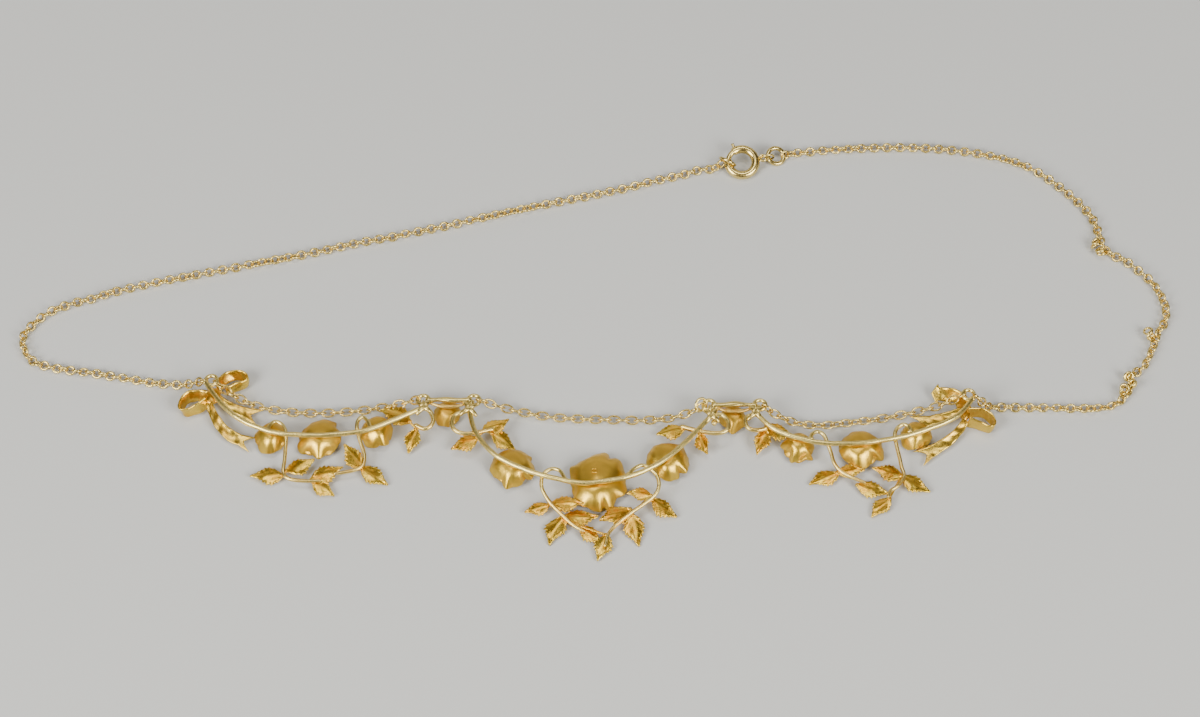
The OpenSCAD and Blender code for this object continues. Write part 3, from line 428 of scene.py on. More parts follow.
LEFT_ARC = [[-0.035, 0.02, 0.95], [0.035, 0.2, 1], [0.105, 0.33, 1], [0.205, 0.44, 1], [0.34, 0.515, 1],
            [0.53, 0.53, 1], [0.72, 0.49, 1], [0.87, 0.38, 1], [1, 0.265, 1]]
LEFT_LOOP = [[1, 0.27, 1], [1.03, 0.31, 0.97], [1.045, 0.385, 0.93], [1.03, 0.44, 0.9], [1, 0.455, 0.88],
             [0.965, 0.42, 0.86]]
LEFT_TENDRILS = [
    [[0.277, 0.486, 0.98], [0.283, 0.433, 0.96], [0.307, 0.395, 0.93], [0.338, 0.417, 0.9], [0.358, 0.482, 0.87],
     [0.361, 0.57, 0.8], [0.36, 0.69, 0.6], [0.355, 0.8, 0.43], [0.375, 0.86, 0.4], [0.44, 0.885, 0.4],
     [0.525, 0.885, 0.4]],
    [[0.754, 0.457, 0.98], [0.739, 0.394, 0.96], [0.713, 0.351, 0.93], [0.692, 0.387, 0.9], [0.691, 0.46, 0.87],
     [0.707, 0.55, 0.72], [0.727, 0.66, 0.52], [0.722, 0.74, 0.43], [0.68, 0.79, 0.41], [0.595, 0.82, 0.4]]]
CENTRE_ARC = [[0, 0.01, 1], [0.03, 0.18, 1], [0.11, 0.34, 1.02], [0.24, 0.455, 1.05], [0.425, 0.54, 1.07],
              [0.55, 0.535, 1.07], [0.7, 0.47, 1.05], [0.835, 0.325, 1.02], [0.99, 0.06, 1]]
CENTRE_LOOPS = [
    [[-0.005, 0.02, 0.95], [-0.055, 0.045, 0.93], [-0.07, 0.105, 0.92], [-0.055, 0.155, 0.9],
     [-0.015, 0.178, 0.88], [0.03, 0.17, 0.86], [0.095, 0.14, 0.8]],
    [[0.995, 0.05, 0.95], [1.035, 0.05, 0.94], [1.06, 0.105, 0.92], [1.05, 0.155, 0.9],
     [1.015, 0.175, 0.88], [0.975, 0.17, 0.86], [0.925, 0.15, 0.84], [0.87, 0.12, 0.8]]]
CENTRE_TENDRILS = [
    [[0.398, 0.526, 1.05], [0.386, 0.487, 1.02], [0.371, 0.452, 1.0], [0.344, 0.438, 0.97], [0.317, 0.456, 0.94],
     [0.302, 0.495, 0.9], [0.3, 0.546, 0.84], [0.313, 0.6, 0.72], [0.34, 0.655, 0.6], [0.376, 0.71, 0.5],
     [0.43, 0.79, 0.43], [0.47, 0.825, 0.4]],
    [[0.65, 0.484, 1.04], [0.672, 0.442, 1.01], [0.704, 0.415, 0.98], [0.735, 0.432, 0.95], [0.762, 0.475, 0.9],
     [0.773, 0.53, 0.84], [0.766, 0.575, 0.75], [0.743, 0.617, 0.66], [0.705, 0.66, 0.57], [0.66, 0.708, 0.5],
     [0.61, 0.77, 0.45], [0.57, 0.845, 0.42], [0.555, 0.925, 0.4]]]
RIGHT_ARC = [[0, 0.02, 1], [0.09, 0.18, 1], [0.25, 0.285, 1], [0.405, 0.31, 1], [0.585, 0.28, 1],
             [0.775, 0.19, 1], [0.935, 0.055, 1], [1.02, -0.12, 0.95]]
RIGHT_LOOP = [[0, 0.03, 0.95], [-0.04, 0.05, 0.93], [-0.05, 0.1, 0.92], [-0.035, 0.155, 0.9], [0.005, 0.17, 0.88],
              [0.045, 0.15, 0.85]]
RIGHT_TENDRILS = [
    [[0.249, 0.259, 0.98], [0.26, 0.214, 0.96], [0.285, 0.19, 0.93], [0.31, 0.21, 0.9], [0.328, 0.27, 0.84],
     [0.345, 0.355, 0.68], [0.36, 0.44, 0.53], [0.39, 0.505, 0.45], [0.44, 0.555, 0.42], [0.495, 0.6, 0.4]],
    [[0.719, 0.188, 0.98], [0.71, 0.143, 0.96], [0.684, 0.122, 0.93], [0.655, 0.161, 0.9], [0.645, 0.225, 0.85],
     [0.655, 0.33, 0.7], [0.67, 0.46, 0.52], [0.68, 0.55, 0.44], [0.65, 0.63, 0.41], [0.615, 0.675, 0.4],
     [0.6, 0.73, 0.4]]]
PRONG_LEN = 1.45
RING_REACH = (END_RING - RING_WIRE) / 2
LEFT_RING = at(LEFT_SWAG, LEFT_ARC[:1])[0] + RING_REACH * np.array([0.95, 0.31, 0])
RIGHT_RING = at(RIGHT_SWAG, RIGHT_ARC[-1:])[0] + RING_REACH * np.array([-0.6, 0.8, 0])


def wobble(path, amount, seed):
    """Hand-bent wire: the path swayed level by two waves of its run, fading out at both ends."""
    s = runs(path)
    t = s / s[-1]
    ph = np.random.default_rng(seed).uniform(0, 6.28, 2)
    side = unit(np.cross(UP, np.gradient(path, axis=0)))
    sway = amount * np.sin(np.pi * t) * (np.sin(s * 0.9 + ph[0]) + 0.6 * np.sin(s * 2.1 + ph[1]))
    return path + side * sway[:, None]


def arc(swag, rows, seed):
    """Arc wire with a slightly worn, uneven thickness."""
    path = wobble(smooth(at(swag, rows), 14), 0.03, seed)
    s = runs(path)
    return tube(path, ARC_WIRE / 2 * (1 + 0.015 * np.sin(s * 1.3 + seed) + 0.01 * np.sin(s * 3.1)), 18)


def tendril(swag, rows, seed, wire=TENDRIL_WIRE, taper=0.2):
    """Tendril: full wire for three quarters of its run, thinner towards its free end, stained where leaves are
    soldered on."""
    path = wobble(smooth(at(swag, rows), 14), 0.02, seed)
    s = runs(path)
    r = wire / 2 * (1.0 - taper * rise(s / s[-1], 0.75, 2))
    return tube(path, r, 14, stain=[0.0, 0.1, 0.15, 0.6, 0.8, 0.5])


def star(centre, seed, turn):
    """Star joint: a lumpy solder mound with four tapered prongs that arch up and bend down at their tips."""
    rng = np.random.default_rng(seed)
    parts = [blob(centre, STAR_MOUND, seed, 0.16)]
    for k in range(4):
        way = level(turn + 90 * k + rng.uniform(-8, 8))
        reach = PRONG_LEN + rng.uniform(-0.1, 0.12)
        t = np.linspace(0.2, 1, 9)[:, None]
        path = centre + way * reach * t + UP * (0.2 * np.sin(t * 2.6) - 0.25 * t**2 + 0.08)
        parts.append(tube(path, np.linspace(0.46, 0.3, 9), 14, flat=0.8, stain=[0.1, 0.3]))
    return parts


def hanger(star_at, eye_at):
    """Upright loop through the eye, and the neck that carries it."""
    out = unit((eye_at - star_at) * LEVEL)
    seat = eye_at - out * (EYE - RING_WIRE) / 2
    loop = link(seat, out, UP, HANGER_R, HANGER_R, HANGER_WIRE, 30, 12)
    t = np.linspace(0, 1, 5)[:, None]
    return [loop, tube(star_at + (seat - out * HANGER_R - star_at) * t, np.linspace(0.3, 0.22, 5), 12)]


def end_ring(centre, seed):
    """Round end ring, hand-closed: a circle a little out of round."""
    along = level(20 + 35 * seed)
    return link(centre, along, np.cross(UP, along), RING_REACH * 0.99, RING_REACH * 0.97, RING_WIRE, 44, 14)


def frame_piece(swag, arc_rows, loops, tendrils, stars, seed):
    """All the wires of a swag with their solder: the arc, loops, tendrils, star joints and beads."""
    parts = [arc(swag, arc_rows, seed)]
    parts += [tendril(swag, rows, seed + 3 + k, LOOP_WIRE, 0.0) for k, rows in enumerate(loops)]
    for k, rows in enumerate(tendrils):
        parts.append(tendril(swag, rows, seed + 7 + k))
        parts.append(blob(at(swag, rows[:1])[0] - UP * 0.05, ARC_BEAD, seed + k, 0.2))
    for k, (row, eye, turn) in enumerate(stars):
        spot = at(swag, [arc_rows[row]])[0]
        parts += star(spot, seed + 20 + k, turn)
        parts += hanger(spot, EYES[eye])
    return parts


left_parts = frame_piece(LEFT_SWAG, LEFT_ARC, [LEFT_LOOP], LEFT_TENDRILS, [(-1, "left", 48)], 1)
left_parts += [end_ring(LEFT_RING, 0), blob(at(LEFT_SWAG, LEFT_ARC[:1])[0], END_BEAD, 41)]
put("left_frame_wires", join(left_parts), WIRE, "left_frame")

centre_parts = frame_piece(CENTRE_SWAG, CENTRE_ARC, CENTRE_LOOPS, CENTRE_TENDRILS,
                           [(0, "centre_left", 38), (-1, "centre_right", 52)], 2)
spare_link_way = unit(np.array([0.5, 0.75, 0.35]))
spare_link_side = unit(np.cross(spare_link_way, [0.6, -0.2, 0.75]))
spare_link_at = EYES["centre_right"] + np.array([-1.25, 0.1, 0.0])
centre_parts += [blob(np.array([17.9, -14.4, 2.9]), (0.5, 0.46, 0.42), 43, 0.2),
                 link(spare_link_at, spare_link_way, spare_link_side, 1.0, 0.9, 0.42, 40, 12)]
put("centre_frame_wires", join(centre_parts), WIRE, "centre_frame")

right_parts = frame_piece(RIGHT_SWAG, RIGHT_ARC, [RIGHT_LOOP], RIGHT_TENDRILS, [(0, "right", 42)], 3)
right_parts += [end_ring(RIGHT_RING, 1), blob(at(RIGHT_SWAG, RIGHT_ARC[-1:])[0], END_BEAD, 42)]
put("right_frame_wires", join(right_parts), WIRE, "right_frame")


# Bars: the main wire's radius, and the thinner wires beside it by bow, height and radius

BAR_R = 0.46
LOWER_WIRES = ((0.95, -0.02, 0.23), (0.55, -0.25, 0.2))


def bar(name, eye_a, eye_b, seed):
    """Bar link: a flattened wire that waists and waves between two round eyes and laps onto them, with two thinner
    wires bowed beside it."""
    reach = (EYE - RING_WIRE) / 2
    t = np.linspace(0, 1, 41)
    path = (eye_a + (eye_b - eye_a) * t[:, None])[4:-4]
    t = t[4:-4]
    path = path + np.stack([0 * t, 0.1 * np.sin(t * 9 + seed) * np.sin(np.pi * t), 0.1 * np.sin(np.pi * t)], 1)
    waist = 1 + 0.18 * np.cos(4 * np.pi * t) - 0.1 * np.sin(7 * t + seed)
    parts = [tube(path, BAR_R * waist * np.clip(np.sin(np.pi * t) * 4, 0.55, 1), 18, flat=0.8, stain=0.1)]
    for eye in (eye_a, eye_b):
        parts.append(link(eye, EAST, NORTH, reach, reach * 0.97, RING_WIRE, 44, 14))
    for depth, lift, radius in LOWER_WIRES:
        u = np.linspace(-1, 1, 25)[:, None]
        line = (eye_a + eye_b) / 2 + EAST * (eye_b - eye_a)[0] / 2 * 0.78 * u
        line = line - NORTH * (0.35 + depth * (1 - u**2)) + UP * lift
        parts.append(tube(line, radius, 12, stain=1.0))
    for k, spot in enumerate((eye_a + EAST * reach, eye_b - EAST * reach)):
        parts.append(blob(spot, EYE_BEAD, seed + k, 0.15))
    put(name + "_wires", join(parts), WIRE, name)


bar("left_bar", EYES["left"], EYES["centre_left"], 5)
bar("right_bar", EYES["centre_right"], EYES["right"], 9)


# Flowers: the fold angles of each back, then its edge as rows of angle in degrees and radius share

PETAL_STEPS = 144
FLOWERS = {
    "left_flower_outer": [(-150, -95, -40, 30, 124),
        [-170, 1.05], [-150, 1.0], [-121, 1.12], [-95, 1.1], [-72, 1.02], [-40, 0.8], [10, 0.8], [50, 0.95],
        [85, 1.1], [124, 0.9], [144, 1.0], [165, 1.12]],
    "left_flower_middle": [(-124, -58, -10, 57, 150),
        [-166, 0.93], [-150, 1.02], [-139, 0.96], [-120, 0.76], [-104, 0.86], [-91, 1.06], [-79, 0.92], [-64, 0.77],
        [-43, 0.85], [-25, 0.82], [-10, 0.88], [25, 0.93], [49, 0.94], [56, 1.18], [72, 1.06], [90, 1.0],
        [113, 1.03], [126, 0.94], [152, 0.79], [176, 0.76]],
    "left_flower_inner": [(-90, -25, 30, 90, 165),
        [-150, 1.02], [-130, 1.04], [-112, 1.04], [-78, 0.93], [-62, 1.1], [-48, 1.05], [-30, 0.84], [10, 0.96],
        [46, 1.03], [75, 1.05], [100, 1.08], [126, 1.08], [152, 1.05]],
    "left_bar_flower": [(-140, -95, -50, 40, 135),
        [-164, 1.05], [-120, 1.05], [-95, 1.0], [-60, 0.8], [-20, 0.8], [20, 0.9], [70, 0.95], [111, 1.1],
        [159, 1.1]],
    "centre_flower_left": [(-123, -44, 30, 60, 140),
        [-177, 1.03], [-160, 0.93], [-144, 0.84], [-123, 0.8], [-114, 0.98], [-106, 1.13], [-90, 0.96], [-75, 0.92],
        [-62, 0.94], [-50, 0.76], [-44, 0.68], [-40, 0.9], [-35, 1.1], [-16, 1.03], [4, 1.0], [22, 0.92], [30, 0.95],
        [37, 1.07], [46, 0.99], [68, 1.02], [90, 1.05], [108, 1.06], [131, 1.02], [157, 0.98]],
    "centre_flower_main": [(-157, -74, -38, 61, 120),
        [-158, 0.78], [-146, 0.88], [-141, 1.04], [-124, 1.0], [-98, 0.98], [-82, 1.05], [-74, 0.85], [-66, 1.08],
        [-54, 1.0], [-40, 0.86], [-27, 1.05], [-16, 1.06], [-2, 0.98], [24, 1.04], [44, 1.1], [54, 1.06],
        [61, 0.91], [67, 1.08], [76, 1.1], [90, 1.02], [107, 0.93], [134, 0.92], [148, 1.03], [168, 0.88]],
    "centre_flower_right": [(-138, -48, 30, 95, 160),
        [-156, 0.92], [-136, 0.8], [-119, 0.93], [-103, 0.99], [-83, 1.02], [-60, 0.98], [-52, 0.84],
        [-46, 0.7], [-42, 0.88], [-38, 1.07],
        [-16, 0.97], [20, 0.96], [41, 1.0], [57, 1.02], [82, 1.0], [110, 1.02], [146, 0.96], [176, 0.96]],
    "right_bar_flower": [(-130, -70, 28, 95, 150),
        [-131, 0.92], [-100, 1.2], [-72, 0.85], [-27, 0.95], [28, 0.85], [70, 1.0], [97, 1.1], [140, 1.0],
        [171, 1.1]],
    "right_flower_inner": [(-150, -80, -20, 50, 135),
        [-172, 0.75], [-141, 0.62], [-118, 0.98], [-104, 0.86], [-68, 0.74], [-50, 0.78], [-36, 1.15], [-24, 0.8],
        [0, 1.0], [26, 1.05], [79, 1.05], [106, 0.96], [135, 0.9], [168, 1.12]],
    "right_flower_middle": [(-140, -42, 50, 120, 170),
        [-154, 0.9], [-133, 0.87], [-118, 0.9], [-102, 1.08], [-76, 1.0], [-58, 0.84], [-47, 0.72],
        [-38, 0.63], [-34, 0.84], [-29, 1.1],
        [-10, 1.0], [5, 0.96], [36, 0.93], [59, 0.95], [89, 0.96], [124, 0.86], [177, 0.88]],
    "right_flower_outer": [(-150, -76, 10, 80, 150),
        [-160, 0.92], [-130, 1.06], [-97, 1.1], [-76, 0.9], [-40, 0.9], [-13, 1.02], [30, 1.05], [70, 0.95],
        [101, 1.02], [140, 0.88]],
}


# Shares of a flower's crown: how far its back falls off in all and near the rim, how deep a fold is, how high the
# step where a petal laps the next, how deep a dent; and a fold's width in degrees
DOME_FALL, RIM_FALL = 0.34, 0.4
FOLD_DEPTH, LAP_STEP, DENT_DEPTH = 0.045, 0.03, 0.017
FOLD_WIDE = 9.0


def flower_dome(name, width, share, crown, rng, ph):
    """Back of a stamped flower, on a polar grid of radius share s by angle a. Its rim is the edge table rounded off,
    with a fine ragged wave, and inside the rim the outline is calmer: reach = calm + (rim - calm) * s^5. Its height
    is crown * (1 - 0.34 s^2 - 0.4 s^5), less a valley near each fold angle, plus a step where each petal lies over
    the next, five slanting waves of dents, and a curl of the rim by two waves of the angle."""
    folds = np.array(FLOWERS[name][0], float)
    edge = np.array(FLOWERS[name][1:], float)
    a = np.linspace(-180, 180, PETAL_STEPS, endpoint=False)
    bend = np.radians(a)
    rim = np.interp(a, edge[:, 0], edge[:, 1], period=360)
    rim = (np.roll(rim, 1) + 2 * rim + np.roll(rim, -1)) / 4 - 0.015
    rim = rim + 0.01 * np.sin(np.radians(13 * a + ph[0])) + 0.014 * np.abs(np.sin(np.radians(9.5 * a + ph[1])))
    calm = rim
    for step in (4, 6, 8):
        calm = (np.roll(calm, step) + calm + np.roll(calm, -step)) / 3
    s = np.concatenate([np.linspace(0.06, 0.84, 17), [0.89, 0.93, 0.96, 0.98, 1.0]])[:, None]

    gap = (a[None, :, None] - folds[None, None, :] + 180) % 360 - 180
    valley = np.exp(-(np.abs(gap).min(-1) / FOLD_WIDE) ** 2)
    after = np.where(gap >= 0, gap, 400).min(-1)
    before = np.where(gap < 0, -gap, 400).min(-1)
    lap = after / (after + before) - 0.5
    east, north = s * np.cos(bend), s * np.sin(bend)
    z = 1 - DOME_FALL * s**2 - RIM_FALL * s**5
    z = z - FOLD_DEPTH * valley * rise(s, 0.62, 2) + LAP_STEP * lap * rise(s, 0.6, 2)
    for k, (p, q) in enumerate(rng.uniform(-5.5, 5.5, (5, 2))):
        z = z + DENT_DEPTH * np.clip(s * 2, 0, 1) * np.sin(p * east + q * north + ph[k])
    curl = 0.08 * np.sin(np.radians(4 * a + ph[4])) + 0.025 * np.sin(np.radians(9 * a + ph[5]))
    z = z + (curl + 0.05) * rise(s, 0.7, 2)

    reach = calm + (rim - calm) * s**5
    x, y = width / 2 * reach * east, width / 2 * share * reach * north
    grid = np.stack([x, y, crown * z - PETAL_SHEET / 2], -1)
    # Painted shade: darker in the folds near the rim, towards the rim, and on the far side of the crown; the bar
    # flowers are darker all over, as painted shade under their bar.
    tone = 0.4 * valley * rise(s, 0.6) + 0.12 * rise(s, 0.55, 2)
    tone = tone + 0.4 * np.exp(-(((north - 0.3) / 0.5) ** 2 + (east / 0.7) ** 2))
    tone = tone + (0.3 if name.endswith("bar_flower") else 0.0)
    spot = np.exp(-(((x / width - rng.uniform(-0.2, 0.2)) / 0.12) ** 2 + ((y / width + 0.18) / 0.1) ** 2))
    return dome(grid, PETAL_SHEET, np.clip(tone, 0, 1), 0.35 * spot + 0.15 * (1 - s) + 0 * z)


def petal_layer(width, share, crown, ph):
    """Cupped petals under the dome: radius 0.8 plus five lobes of the angle, height 0.66 - 0.36 s^2 of the crown, and
    a rim that lifts and sinks five times round."""
    a = np.linspace(-180, 180, PETAL_STEPS, endpoint=False)
    bend = np.radians(a)
    lobes = 0.08 * np.abs(np.cos(np.radians(2.5 * (a + 36) + ph[6]))) + 0.015 * np.sin(np.radians(11 * a))
    s = np.linspace(0.12, 1, 14)[:, None]
    z = 0.66 - 0.36 * s**2 + 0.1 * np.clip(s - 0.7, 0, 1) * np.cos(np.radians(5 * a + ph[7]))
    reach = width / 2 * (0.8 + lobes) * s
    grid = np.stack([reach * np.cos(bend), reach * share * np.sin(bend), crown * z], -1)
    # Painted shade: the petals under the dome are darkened all over.
    return dome(grid, PETAL_SHEET * 0.8, 0.35 + 0 * z, 0 * z)


def rose_heart(width, crown, ph):
    """Rose heart: a sheet wound on a spiral whose radius grows evenly with the angle, flared towards the ground,
    with a wavy lower edge."""
    wind = np.linspace(0.4, 13.2, 96)[:, None]
    h = np.linspace(0, 1, 9)[None, :]
    r = width * (0.03 + 0.0205 * wind) * (1 + 0.28 * (1 - h) ** 2 + 0.05 * np.sin(4 * wind))
    low = 0.06 + 0.14 * np.sin(0.5 * wind + ph[0]) ** 2
    height = (low + (0.72 - low) * h) * crown
    grid = np.stack([r * np.cos(wind), r * np.sin(wind), height + 0 * r], -1)
    # Painted shade: darker towards the top, under the dome.
    return plate(grid, PETAL_SHEET * 0.8, tone=0.5 * h + 0 * wind)


def flower(name, place, width, share, crown, seed):
    """Stamped flower, back up: the dome, the petals under it and the rose heart under those. The main flower has a
    ring of solder on its crown."""
    rng = np.random.default_rng(seed)
    ph = rng.uniform(0, 360, 8)
    parts = [flower_dome(name, width, share, crown, rng, ph), petal_layer(width, share, crown, ph),
             rose_heart(width, crown, ph)]
    if name == "centre_flower_main":
        spot = np.array([-0.3, 0.7, crown * 1.005])
        parts.append(link(spot, EAST + UP * 0.02, NORTH - UP * 0.08, 0.44, 0.4, 0.13, 28, 8, stain=0.2))
    points, quads, tris, marks = join(parts)
    put(name + "_back", (points + place * LEVEL, quads, tris, marks), FLOWER, name)


# Name, swag, places along and down it, width, length as a share of width, height as a share of the arc's, seed
FLOWER_ROWS = [
    ("left_flower_outer", LEFT_SWAG, 0.29, 0.47, 5.0, 1.05, 1.0, 11),
    ("left_flower_middle", LEFT_SWAG, 0.512, 0.49, 7.4, 0.95, 1.0, 12),
    ("left_flower_inner", LEFT_SWAG, 0.78, 0.42, 5.0, 1.08, 1.0, 13),
    ("centre_flower_left", CENTRE_SWAG, 0.18, 0.375, 6.8, 1.0, 1.02, 14),
    ("centre_flower_main", CENTRE_SWAG, 0.52, 0.475, 9.2, 1.1, 1.06, 15),
    ("centre_flower_right", CENTRE_SWAG, 0.81, 0.325, 6.8, 1.0, 1.02, 16),
    ("right_flower_inner", RIGHT_SWAG, 0.195, 0.275, 5.0, 1.12, 1.0, 17),
    ("right_flower_middle", RIGHT_SWAG, 0.485, 0.275, 7.4, 0.95, 1.0, 18),
    ("right_flower_outer", RIGHT_SWAG, 0.748, 0.15, 5.0, 1.0, 1.0, 19)]
for name, swag, along, down, width, share, lift, seed in FLOWER_ROWS:
    flower(name, at(swag, [[along, down, 1]])[0], width, share, ARC_Z * lift - ARC_WIRE / 2 - 0.075, seed)
for side, eye_a, eye_b, seed in (("left", "left", "centre_left", 20), ("right", "centre_right", "right", 21)):
    flower(side + "_bar_flower", (EYES[eye_a] + EYES[eye_b]) / 2 - NORTH * 1.1, 4.2, 1.1, EYE_Z - 0.45, seed)


# Leaves

# Leaf outlines as rows of share along and half width: with teeth, and calm inside them
LEAF_EDGE = np.array([[0, 0.14], [0.06, 0.42], [0.14, 0.82], [0.18, 0.64], [0.27, 1.12], [0.31, 0.8], [0.41, 1.04],
                      [0.45, 0.66], [0.55, 0.78], [0.59, 0.43], [0.69, 0.52], [0.73, 0.26], [0.84, 0.25], [0.93, 0.12],
                      [1, 0.03]])
LEAF_CALM = np.array([[-0.06, 0.1], [0, 0.2], [0.1, 0.58], [0.2, 0.86], [0.3, 0.96], [0.4, 0.9], [0.5, 0.76],
                      [0.6, 0.6], [0.7, 0.44], [0.8, 0.3], [0.9, 0.15], [1, 0.03]])

# A leaf's fold in degrees, how much of the tabled teeth is cut, and the gap under what lies on the surface
LEAF_FOLD = 16
TOOTH_DEPTH = 0.75
REST_GAP = 0.03


def leaf(root, way, share, slope, seed, warm=0.3):
    """Serrated leaf: a grid of share along u and share across v. Its half width is the calm outline inside and, by
    v^8, the toothed one at the rim, three quarters as deep as its table. Its sides sweep towards the tip and fold
    down at about 16 degrees from the midrib. It is a little twisted, with faint veins, a groove along the midrib,
    cupped sides, a long arch and a drooping tip. Nothing sinks below the surface that the necklace lies on."""
    rng = np.random.default_rng(seed)
    u = np.linspace(-0.06, 1, 77)[:, None]
    v = np.sin(np.linspace(-np.pi / 2, np.pi / 2, 17))[None, :]
    side = np.sign(v)
    inside = np.sin(np.pi * np.clip(u, 0, 1))
    shift = rng.uniform(0.0, 0.05) * side + rng.uniform(-0.02, 0.02)
    lean = 1 + side * rng.uniform(-0.1, 0.1)
    calm = np.interp(u + 0.5 * shift, LEAF_CALM[:, 0], LEAF_CALM[:, 1]) * lean
    toothed = np.interp(u + shift, LEAF_EDGE[:, 0], LEAF_EDGE[:, 1]) * lean
    toothed = toothed + 0.06 * inside * np.interp(u + 0 * v, np.linspace(0, 1, 40), rng.uniform(-1, 1, 40))
    half = np.maximum((calm + TOOTH_DEPTH * (toothed - calm) * v**8) * LEAF_W / 2, 0.05)
    y = half * v
    x = LEAF_LEN * u + 0.42 * half * np.abs(v) ** 1.5 * inside**0.5
    fold = np.tan(np.radians(LEAF_FOLD + rng.uniform(-5, 6)))
    twist = np.radians(rng.uniform(-14, 14)) * (u - 0.35)
    z = -np.abs(y) * fold + y * np.tan(twist) + 0.1 * np.abs(v) ** 3 * LEAF_W / 2 - 0.1
    veins = 0.01 * np.cos(2 * np.pi * (4.4 * u - 0.9 * np.abs(v))) * np.clip(np.abs(v) * 3, 0, 1) * np.sin(np.pi * u)
    groove = 0.06 * np.exp(-(v / 0.12) ** 2)
    arch = 0.16 * np.sin(np.pi * u) - 0.3 * np.clip(u - 0.65, 0, 1) ** 1.4
    z = z + veins - groove + arch + 0.06 * np.sin(5 * u + 6 * rng.random() + 2.4 * v)
    y = y + 0.5 * rng.uniform(-1, 1) * u**3
    grid = np.stack([x * share, y * share, z * share], -1)
    # Painted shade along the midrib groove.
    tone = 0.3 * np.exp(-(v / 0.14) ** 2) + 0 * x
    stain = np.clip(2 * warm + 0.5 * (0.5 - u) + 0.25 * rng.uniform(-1, 1), 0.05, 1)
    stain = stain * np.clip(1.3 - 0.6 * np.abs(v), 0, 1)
    points, quads, tris, marks = plate(grid, LEAF_SHEET, tone, stain + 0 * x)
    points = turned(turned(points, slope, "y"), way, "z") + root
    points[:, 2] = np.maximum(points[:, 2], REST_GAP)
    return points, quads, tris, marks


def spray(name, swag, rows, seed):
    """Leaves of one spray with the solder that joins their roots. A row is a root's place along, down and up, the
    leaf's heading in degrees, its size, its slope in degrees and, where it isn't 0.3, its warmth."""
    roots = at(swag, [r[:3] for r in rows])
    parts = [leaf(root, *r[3:6], seed + k, *r[6:]) for k, (root, r) in enumerate(zip(roots, rows))]
    for k, spot in enumerate(roots):
        parts.append(blob(spot, ROOT_BEAD, seed + k, 0.2))
        parts[-1][3]["stain"][:] = 0.8
    if len(roots) > 1:
        order = np.argsort(roots[:, 0])
        line = roots[order]
        parts.append(tube(points_at(line, np.linspace(0, runs(line)[-1], 9)), 0.19, 12, stain=0.7))
    put(name + "_sheet", join(parts), LEAF, name)


spray("left_leaves_outer", LEFT_SWAG,
      [[0.345, 0.815, 0.29, 181, 0.95, 3], [0.368, 0.78, 0.29, 18, 0.9, -9]], 50)
spray("left_leaves_middle", LEFT_SWAG,
      [[0.49, 0.855, 0.29, 24, 0.98, -3], [0.495, 0.885, 0.29, -30, 0.78, 6]], 53)
spray("left_leaves_inner", LEFT_SWAG,
      [[0.715, 0.745, 0.3, 128, 0.88, -18], [0.715, 0.755, 0.28, -34, 0.96, 6]], 56)
spray("left_leaves_joint", LEFT_SWAG,
      [[0.93, 0.36, 0.66, 146, 1.08, 10], [0.965, 0.425, 0.62, -110, 0.78, 24]], 59)
spray("centre_leaves_left", CENTRE_SWAG,
      [[0.325, 0.64, 0.36, 196, 0.72, 8, 0.8], [0.345, 0.635, 0.42, 2, 0.9, -6, 0.8],
       [0.385, 0.72, 0.36, -118, 0.98, 10]], 62)
spray("centre_leaves_low", CENTRE_SWAG,
      [[0.4, 0.715, 0.3, -6, 0.95, -8, 0.8], [0.455, 0.79, 0.34, -36, 0.8, 9, 0.8],
       [0.56, 0.845, 0.32, -106, 0.86, 8]], 66)
spray("centre_leaves_right", CENTRE_SWAG,
      [[0.66, 0.71, 0.38, -76, 1.02, 11], [0.655, 0.675, 0.42, 205, 1, -5, 0.8],
       [0.745, 0.61, 0.46, -36, 0.9, 14], [0.74, 0.585, 0.5, 166, 0.72, 4, 0.8]], 70)
spray("centre_leaves_joint_left", CENTRE_SWAG,
      [[0.035, 0.19, 0.7, 200, 0.86, 14, 0.8], [0.065, 0.14, 0.72, 30, 0.86, 6],
       [0.095, 0.15, 0.64, -28, 0.88, 17]], 75)
spray("centre_leaves_joint_right", CENTRE_SWAG,
      [[0.875, 0.12, 0.66, 180, 0.85, 17], [0.94, 0.16, 0.72, -72, 0.68, 22, 0.8]], 79)
spray("right_leaves_left", RIGHT_SWAG,
      [[0.37, 0.505, 0.32, 200, 0.9, 8], [0.375, 0.5, 0.34, 8, 0.8, -4, 0.8]], 82)
spray("right_leaves_middle", RIGHT_SWAG, [[0.465, 0.61, 0.29, -16, 0.95, 5]], 85)
spray("right_leaves_right", RIGHT_SWAG,
      [[0.607, 0.735, 0.29, -136, 0.8, 8], [0.67, 0.535, 0.34, 160, 0.9, -4, 0.8],
       [0.675, 0.545, 0.34, -32, 0.92, 8]], 87)
spray("right_leaves_joint", RIGHT_SWAG,
      [[0.045, 0.145, 0.68, -112, 0.8, 20, 0.8], [0.05, 0.1, 0.6, -14, 0.9, 17]], 91)


# Bows

